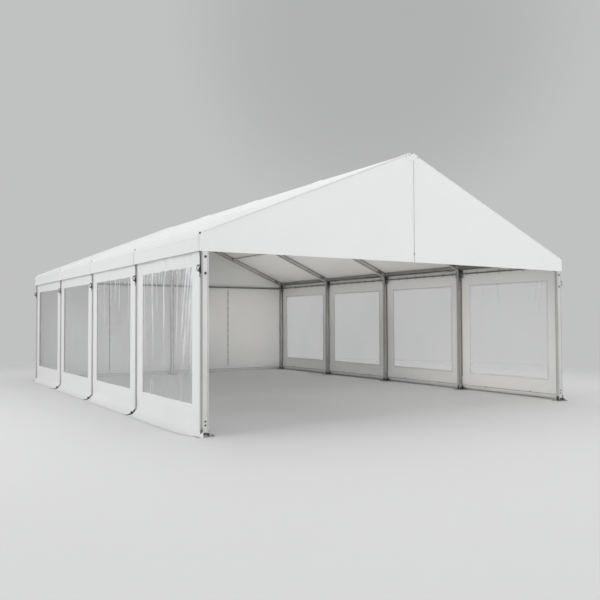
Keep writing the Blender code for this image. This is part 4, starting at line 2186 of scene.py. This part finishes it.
@dataclass
class Fittings(SubAssembly):
    """Bolts, splice plates, feet, caps and hooks on the frames."""

    knee_bolts: tuple[float, ...] = (2.854, 2.589)
    foot_bolts: tuple[float, ...] = (0.240, 0.180)
    bolt_out: float = 4.43
    off: float = 0.0002
    plate_face: float = 0.0052
    base_plate: float = 0.0104
    shoe: float = 0.105
    stake: tuple[float, float] = (0.118, 0.075)
    foot_pin: float = 0.065
    hinge: tuple[float, float] = (4.385, 4.462)
    lock_out: float = 4.489
    ring_out: float = 4.452
    ring_start: float = 0.24
    ring_step: float = 0.36
    rings_to_bay: int = 8
    plug_angle: float = 42.0
    patch: tuple[tuple[float, float], ...] = (
        (-0.155, -0.165), (0.116, -0.165), (0.116, -0.05),
        (0.0, -0.017), (-0.09, -0.026), (-0.155, -0.043),
    )

    def build(self) -> None:
        """Makes the fittings of every frame."""
        self._splices()
        self._post_bolts()
        self._foot_pins()
        self._foot_hinges()
        self._eave_plugs()
        self._rail_rings()
        self._rail_hangers()
        self._ridge_ends()

    def _spots(self) -> list[tuple[int, float, int]]:
        """Finds where a frame's faces look into a bay, on both sides.

        Returns:
            The sign of the side, the face's Y and the way out of it, for each.
        """
        half = self.plan.profile_width / 2
        faces = [(y + way * half, way) for bay in self.plan.bays for y, way in zip(bay, (1, -1))]
        return [(side.value, y, way) for y, way in faces for side in Side]

    def _splices(self) -> None:
        """Makes the plates and bolts of the knee and ridge joints."""
        form = Form()
        for sign, y, way in self._spots():
            x, far = sign * self.bolt_out, y + way * self.plate_face
            form.block(x, 2.99, (0.032, 0.13), y + way * self.off, far, 0.0012)
            for z in (2.90, 3.0):
                form.bolt((x, far, z), (0, way, 0), 0.022, 0.01)
            self._rafter_plate(form, sign, y, way, 4.20, 0.16)
            self._rafter_plate(form, sign, y, way, 0.30, 0.36)
        self.publish("splice_plates", form, Look.STEEL)

    def _rafter_plate(
        self, form: Form, sign: int, y: float, way: int, x: float, length: float
    ) -> None:
        """Makes a plate on a rafter's face, and its bolts.

        Args:
            form: Where they go.
            sign: Sign of the side.
            y: Y of the rafter's face.
            way: The way out of it.
            x: How far out the plate's middle is.
            length: Length of the plate.
        """
        plan = self.plan
        z = plan.roof_height(x, plan.fabric + plan.touch + plan.profile_depth / 2)
        turn = Matrix.Rotation(sign * math.atan(plan.slope), 4, "Y")
        place = Matrix.Translation((sign * x, y, z)) @ turn
        low = (-length / 2, way * self.off, -0.032)
        form.slab(low, (length / 2, way * self.plate_face, 0.032), 0.0012, place)
        for along in (-length * 0.36, length * 0.36):
            centre = place @ Vector((along, way * self.plate_face, 0))
            form.bolt(centre, (0, way, 0), 0.022, 0.01)

    def _post_bolts(self) -> None:
        """Makes bolt heads on the open faces of the first frame, and low on every post."""
        form, front = Form(), Form()
        for side in Side:
            for heights, across in ((self.knee_bolts, 0.024), (self.foot_bolts, 0.017)):
                for z in heights:
                    at = (side.value * self.bolt_out, self.plan.front_face, z)
                    front.bolt(at, (0, -1, 0), across, 0.010)
        for sign, y, way in self._spots():
            for z in self.foot_bolts:
                form.bolt((sign * self.bolt_out, y, z), (0, way, 0), 0.019, 0.009)
        self.publish("post_bolts", form, Look.STEEL)
        self.publish("front_bolts", front, Look.DARK_STEEL)

    def _foot_pins(self) -> None:
        """Makes the stakes through the base plates, and the pin of each foot."""
        plan = self.plan
        form = Form()
        feet = [(side.value * plan.post_middle, y) for side in Side for y in plan.frame_ys]
        upright = (0.0, plan.frame_ys[-1])
        for foot in (*feet, upright):
            x, y = foot
            for across, along in ((-1, -1), (-1, 1), (1, -1), (1, 1)):
                hidden = along > 0 if foot == upright else across * x > 0
                if not hidden:
                    at = (x + across * self.stake[0], y + along * self.stake[1], 0)
                    form.pin(at, UP, 0.0102, 0.016, 0.019, 20, bevel=0.001)
                    form.pin(at, UP, 0.016, 0.032, 0.012, 12, bevel=0.002)
            form.pin((x, y, self.foot_pin), AHEAD, -0.058, 0.058, 0.008, 14, bevel=0.001)
            for along in (-0.052, 0.052):
                form.ring((x, y + along, self.foot_pin - 0.009), AHEAD, 0.014, 0.002, 16)
        self.publish("foot_pins", form, Look.STEEL)

    def _foot_hinges(self) -> None:
        """Makes the hinge of each base plate in front of its post, with a locking pin."""
        plan, low = self.plan, self.base_plate
        form = Form()
        for side in Side:
            sign = side.value
            for y in plan.frame_ys:
                face = y - plan.profile_width / 2
                ends = [sign * x for x in self.hinge]
                form.rod(*((x, face - 0.016, 0.046) for x in ends), 0.015, 18, bevel=0.002)
                for x in ends:
                    ear = (x + sign * 0.010, face - 0.0004, 0.060)
                    form.slab((x, face - 0.033, low), ear, 0.003)
                x = sign * self.lock_out
                form.pin((x, face - 0.012, 0), UP, low, self.shoe, 0.0075, 14, bevel=0.002)
                form.ring((x, face - 0.012, 0.118), AHEAD, 0.013, 0.003, 16)
                inside = (sign * 4.3696, y + 0.031, self.shoe)
                form.slab((sign * 4.3641, y - 0.031, low), inside, 0.001)
                if y == plan.frame_ys[0]:
                    outside = (sign * 4.5064, face + 0.03, self.shoe)
                    form.slab((sign * 4.5004, face, low), outside, 0.001)
        self.publish("foot_hinges", form, Look.DARK_STEEL)

    def _eave_plugs(self) -> None:
        """Makes the rubber plugs at the eaves, where two covers meet over a rafter's end."""
        plan = self.plan
        form = Form()
        angle = math.radians(self.plug_angle)
        for side in Side:
            out = Vector((side.value * math.cos(angle), 0, math.sin(angle)))
            eave = Vector((side.value * plan.eave_centre, 0, plan.eave_height))
            eave += out * (plan.eave_radius + 0.001)
            for y in plan.frame_ys:
                if y in (plan.frame_ys[0], plan.frame_ys[-1]):
                    base = eave + Vector((0, y + math.copysign(0.012, y), 0))
                    way = (out + Vector((0, math.copysign(0.5, y), 0))).normalized()
                else:
                    base, way = eave + Vector((0, y, 0)), out
                    hem = (side.value * (plan.valance_out + 0.001), y, 3.03)
                    form.pin(hem, (side.value, 0, 0), 0.0, 0.006, 0.010, 14, bevel=0.001)
                form.pin(base, way, -0.006, 0.021, 0.019, 20, 0.015, bevel=0.003)
        self.publish("eave_plugs", form, Look.RUBBER)

    def _rail_rings(self) -> None:
        """Makes the rings that hang the walls from their rails."""
        form = Form()
        z = self.plan.rail_height - 0.008
        for side in Side:
            for start, _ in self.plan.bays:
                for step in range(self.rings_to_bay):
                    y = start + self.ring_start + step * self.ring_step
                    form.ring((side.value * self.ring_out, y, z), AHEAD, 0.042, 0.004, 20)
        self.publish("rail_rings", form, Look.STEEL)

    def _rail_hangers(self) -> None:
        """Makes the dark brackets at the knees, with their hooks, rings and rail ends."""
        rail = self.plan.rail_height
        form = Form()
        for sign, y, way in self._spots():
            x, near = sign * self.plan.rail_out, y + way * 0.0056
            form.block(x, rail, (0.023, 0.029), near, y + way * 0.060, 0.004)
            form.block(x, rail + 0.005, (0.018, 0.105), near, y + way * 0.012, 0.002)
            hook_x, hook_y = x + sign * 0.016, y + way * 0.075
            form.pin((hook_x, hook_y, rail), UP, -0.07, 0.08, 0.009, 12, bevel=0.002)
            form.ring((hook_x, hook_y, rail - 0.088), (1, 0, 0), 0.022, 0.0055, 18)
            form.pin((x, y, rail + 0.06), (0, way, 0), 0.012, 0.065, 0.015, 16, bevel=0.002)
        self.publish("rail_hangers", form, Look.DARK_STEEL)

    def _ridge_ends(self) -> None:
        """Makes a sewn patch with the purlin's end knob and bolts, at each end of the ridge."""
        plan, ridge = self.plan, self.plan.ridge_height
        patches, knobs, bolts = Form(), Form(), Form()
        faces = (
            (End.FRONT, plan.front_face - plan.touch - plan.fabric),
            (End.BACK, plan.back_face + 2 * plan.fabric),
        )
        for end, face in faces:
            out, y = (0, end.value, 0), face + end.value * 0.0035
            upright = Matrix(((1, 0, 0, 0), (0, 0, -1, y), (0, 1, 0, ridge), (0, 0, 0, 1)))
            patches.plate(self.patch, 0.003, upright, 0.012, 0.0008)
            knobs.pin((-0.09, y, ridge - 0.054), out, 0.0, 0.022, 0.030, 24, 0.024, bevel=0.005)
            bolts.pin((-0.026, y, ridge - 0.027), out, 0.0, 0.012, 0.012, 16, bevel=0.002)
            bolts.pin((0.135, y, ridge - 0.092), out, 0.0, 0.006, 0.007, 14, bevel=0.001)
        self.publish("ridge_patches", patches, Look.GABLE)
        self.publish("ridge_knobs", knobs, Look.BARS)
        self.publish("ridge_bolts", bolts, Look.RUBBER)


@dataclass
class Ratchets(SubAssembly):
    """The strap and ratchet on each post that pull the covers down."""

    low: float = 2.585
    half_width: float = 0.0125
    drum_out: float = 0.018
    drum_up: float = 0.055

    def build(self) -> None:
        """Makes the ratchets and straps of all posts."""
        plan = self.plan
        parts = self._ratchet(), self._lever(), self._strap()
        forms = Form(), Form(), Form()
        for side in Side:
            turn = Matrix.Rotation(0.0 if side is Side.RIGHT else math.pi, 4, "Z")
            for y in plan.frame_ys:
                at = (side.value * (plan.span / 2 + plan.touch), y, 0)
                for form, part in zip(forms, parts):
                    form.copy(part, Matrix.Translation(at) @ turn)
        metals, levers, straps = forms
        self.publish("ratchets", metals, Look.RUBBER, slot=Slot.STEEL)
        self.publish("ratchet_levers", levers, Look.DARK_STEEL)
        self.publish("ratchet_straps", straps, Look.WEBBING)

    def _bar(
        self, form: Form, x: float, up: float, half: float, *shape: float, bevel: float = 0.001
    ) -> None:
        """Makes a round bar across the ratchet.

        Args:
            form: Where it goes.
            x: How far it is out of the post's face.
            up: How high it is above the ratchet's foot.
            half: Half its length.
            shape: Its radius and number of sides.
            bevel: Rounding of the edges at its ends.
        """
        form.pin((x, 0, self.low + up), AHEAD, -half, half, *shape, bevel=bevel)

    def _ratchet(self) -> Form:
        """Makes the ratchet at y = 0, standing out along +X from its post's face.

        Returns:
            Its form.
        """
        form = Form()
        sizes = ((0.002, 0.01), (0.020, 0.02), (0.027, 0.05), (0.022, 0.09), (0.002, 0.11))
        cheek = [(x, self.low + up) for x, up in sizes]
        for y in (-0.01825, 0.01575):
            place = Matrix(((1, 0, 0, 0), (0, 0, 1, y), (0, 1, 0, 0), (0, 0, 0, 1)))
            form.plate(cheek, 0.0025, place, 0.004, 0.0005)
        self._bar(form, self.drum_out, self.drum_up, 0.024, 0.009, 14)
        form.slab((0.0, -0.014, self.low), (0.003, 0.014, self.low + 0.12), 0.0008)
        return form

    def _lever(self) -> Form:
        """Makes the ratchet's open handle: two wire loops with bars between them.

        Returns:
            Its form.
        """
        form = Form()
        for y in (-0.023, 0.023):
            form.ring((0.034, y, self.low + 0.085), AHEAD, 0.024, 0.004, 28, (1, 2.0, 1))
        self._bar(form, 0.036, 0.133, 0.023, 0.006, 14)
        self._bar(form, 0.036, 0.038, 0.023, 0.005, 12)
        return form

    def _strap(self) -> Form:
        """Makes the strap from the valance's hem down round the ratchet's drum.

        Returns:
            Its form.
        """
        form = Form()
        base, across = self.low, (0, self.half_width, 0)
        path = ((0.026, 2.975), (0.010, 2.90), (0.005, 2.80))
        path += ((0.005, base + 0.12), (0.010, base + 0.07))
        tail = ((0.020, base + 0.045), (0.012, base), (0.016, base - 0.03), (0.007, base - 0.06))
        form.strip([(x, 0, z) for x, z in path], across, 0.0025)
        self._bar(form, self.drum_out, self.drum_up, self.half_width, 0.013, 18, bevel=0.0)
        form.strip([(x, 0, z) for x, z in tail], across, 0.002)
        return form


@dataclass
class Studio:
    """Pale floor, grey backdrop, soft lights, and the camera of the photograph."""

    floor: float = 0.70
    floor_radius: float = 18.0
    backdrop: float = 0.535
    cloud: Colour = (0.588, 0.7035, 0.399)
    warm: Colour = (1.0, 0.965, 0.88)
    camera_at: tuple[float, float, float] = (-9.035, -15.767, 1.827)
    yaw: float = 31.554
    tilt: float = 1.776
    roll: float = -0.153
    focal_pixels: float = 673.9
    centre_pixel: float = 279.0
    image_pixels: float = 600.0
    sensor: float = 36.0

    def build(self) -> None:
        """Makes the stage, the lights and the camera."""
        bpy.context.scene.view_settings.view_transform = "Standard"
        bpy.context.scene.view_settings.look = "None"
        self._world()
        self._floor()
        self._lights()
        self._camera()

    def _world(self) -> None:
        """Makes backdrop grey above, floor grey below, with a soft change between."""
        world = bpy.data.worlds.new("studio")
        bpy.context.scene.world = world
        world.use_nodes = True
        graph = ShaderGraph(world.node_tree)
        direction = graph.place("Generated")
        _, _, z = graph.parts(direction)
        rise = z.ramp(-0.128, -0.066)
        dot = {"operation": "DOT_PRODUCT"}
        towards = graph.node("ShaderNodeVectorMath", dot, {0: direction, 1: self.cloud})
        cloud = graph.wire(towards, "Value").ramp(0.955, 0.998) * 0.17
        level = (1 - rise) * self.floor + rise * (self.backdrop * (1 - cloud))
        sockets = {"Color": (0.992, 0.996, 1.0, 1.0), "Strength": level}
        background = graph.node("ShaderNodeBackground", None, sockets)
        graph.node("ShaderNodeOutputWorld", None, {0: graph.wire(background)})

    def _floor(self) -> None:
        """Makes a round floor that fades out into the backdrop's lower part."""
        bm = bmesh.new()
        bmesh.ops.create_circle(bm, cap_ends=True, segments=96, radius=self.floor_radius)
        bmesh.ops.translate(bm, verts=bm.verts[:], vec=(0, 0, -0.0005))
        mesh = bpy.data.meshes.new("floor")
        bm.to_mesh(mesh)
        bm.free()
        floor = bpy.data.objects.new("floor", mesh)
        bpy.context.scene.collection.objects.link(floor)
        graph, material = ShaderGraph.for_material("pale_floor")
        x, y, _ = graph.parts(graph.place())
        grain = graph.clouds(graph.place(), 6.0, 4.0)
        graph.surface(
            {
                "Base Color": graph.mix(grain * 0.2, (0.81, 0.81, 0.81), (0.79, 0.79, 0.79)),
                "Roughness": grain * 0.1 + 0.55,
                "Specular IOR Level": 0.3,
                "Alpha": ((x * x + y * y) ** 0.5).ramp(10.0, 16.0, 1.0, 0.0),
            }
        )
        mesh.materials.append(material)

    def _lights(self) -> None:
        """Makes large soft lights that the camera doesn't see."""
        warm = self.warm
        self._light("overhead", (0, 0, 14), (0, 0, 0), 16.0, 830.0)
        self._light("left_bank", (-20, -2, 7), (0, 0, 2), 14.0, 1020.0)
        self._light("front_bank", (5, -24, 6.5), (1, -6, 2), 12.0, 1290.0)
        self._light("inside_fill", (-1.6, 1.6, 0.05), (-1.6, 1.6, 3), 6.0, 24.0, warm)
        self._light("right_fill", (-2.4, -4.0, 1.4), (4.4, -4.2, 1.1), 5.0, 17.0, warm, 1.4, 60.0)
        self._light("back_fill", (3.0, 1.5, 1.5), (3.0, 6.0, 1.7), 2.6, 4.2, warm, 1.4, 60.0)
        self._light("slope_fill", (-0.2, 1.8, 0.5), (3.4, 1.8, 3.9), 8.0, 17.0, warm, 0.8, 60.0)

    @staticmethod
    def _light(
        name: str,
        at: Point,
        towards: Point,
        size: float,
        power: float,
        colour: Colour = (1.0, 1.0, 1.0),
        height: float = 0.0,
        spread: float = 180.0,
    ) -> None:
        """Makes one area light.

        Args:
            name: Its name.
            at: Where it is.
            towards: What it points at.
            size: Length of its sides.
            power: Its power in watts.
            colour: Its colour.
            height: Its height, if it isn't square.
            spread: How wide it fans out, in degrees.
        """
        data = bpy.data.lights.new(name, "AREA")
        data.size = size
        data.energy = power
        data.color = colour
        data.spread = math.radians(spread)
        if height:
            data.shape = "RECTANGLE"
            data.size_y = height
        light = bpy.data.objects.new(name, data)
        turn = (Vector(towards) - Vector(at)).to_track_quat("-Z", "Y").to_matrix().to_4x4()
        light.matrix_world = Matrix.Translation(at) @ turn
        light.visible_camera = False
        bpy.context.scene.collection.objects.link(light)

    def _camera(self) -> None:
        """Makes the camera, placed and turned as the photograph was taken."""
        yaw, tilt, roll = (math.radians(angle) for angle in (self.yaw, self.tilt, self.roll))
        ahead = Vector((math.sin(yaw), math.cos(yaw), 0))
        right = Vector((math.cos(yaw), -math.sin(yaw), 0))
        up = Vector(UP)
        forward = ahead * math.cos(tilt) + up * math.sin(tilt)
        upward = up * math.cos(tilt) - ahead * math.sin(tilt)
        across = right * math.cos(roll) + upward * math.sin(roll)
        upright = upward * math.cos(roll) - right * math.sin(roll)
        turn = Matrix((across, upright, -forward)).transposed().to_4x4()
        data = bpy.data.cameras.new("photo_camera")
        data.sensor_width = self.sensor
        data.lens = self.focal_pixels * self.sensor / self.image_pixels
        data.shift_x = (self.image_pixels / 2 - self.centre_pixel) / self.image_pixels
        data.clip_end = 200.0
        camera = bpy.data.objects.new("photo_camera", data)
        camera.matrix_world = Matrix.Translation(self.camera_at) @ turn
        bpy.context.scene.collection.objects.link(camera)
        bpy.context.scene.camera = camera


def main() -> None:
    """Builds the tent and its studio."""
    logging.basicConfig(level=logging.INFO, format="%(message)s")
    Studio().build()
    plan = Plan()
    frame, skin = (PortalFrames, Bars, Fittings), (RoofCovers, GableCovers, SideWalls, BackWall)
    for kind in (*frame, Ratchets, *skin):
        LOG.info("%s", kind.__name__)
        kind(plan).build()


if __name__ == "__main__":
    main()
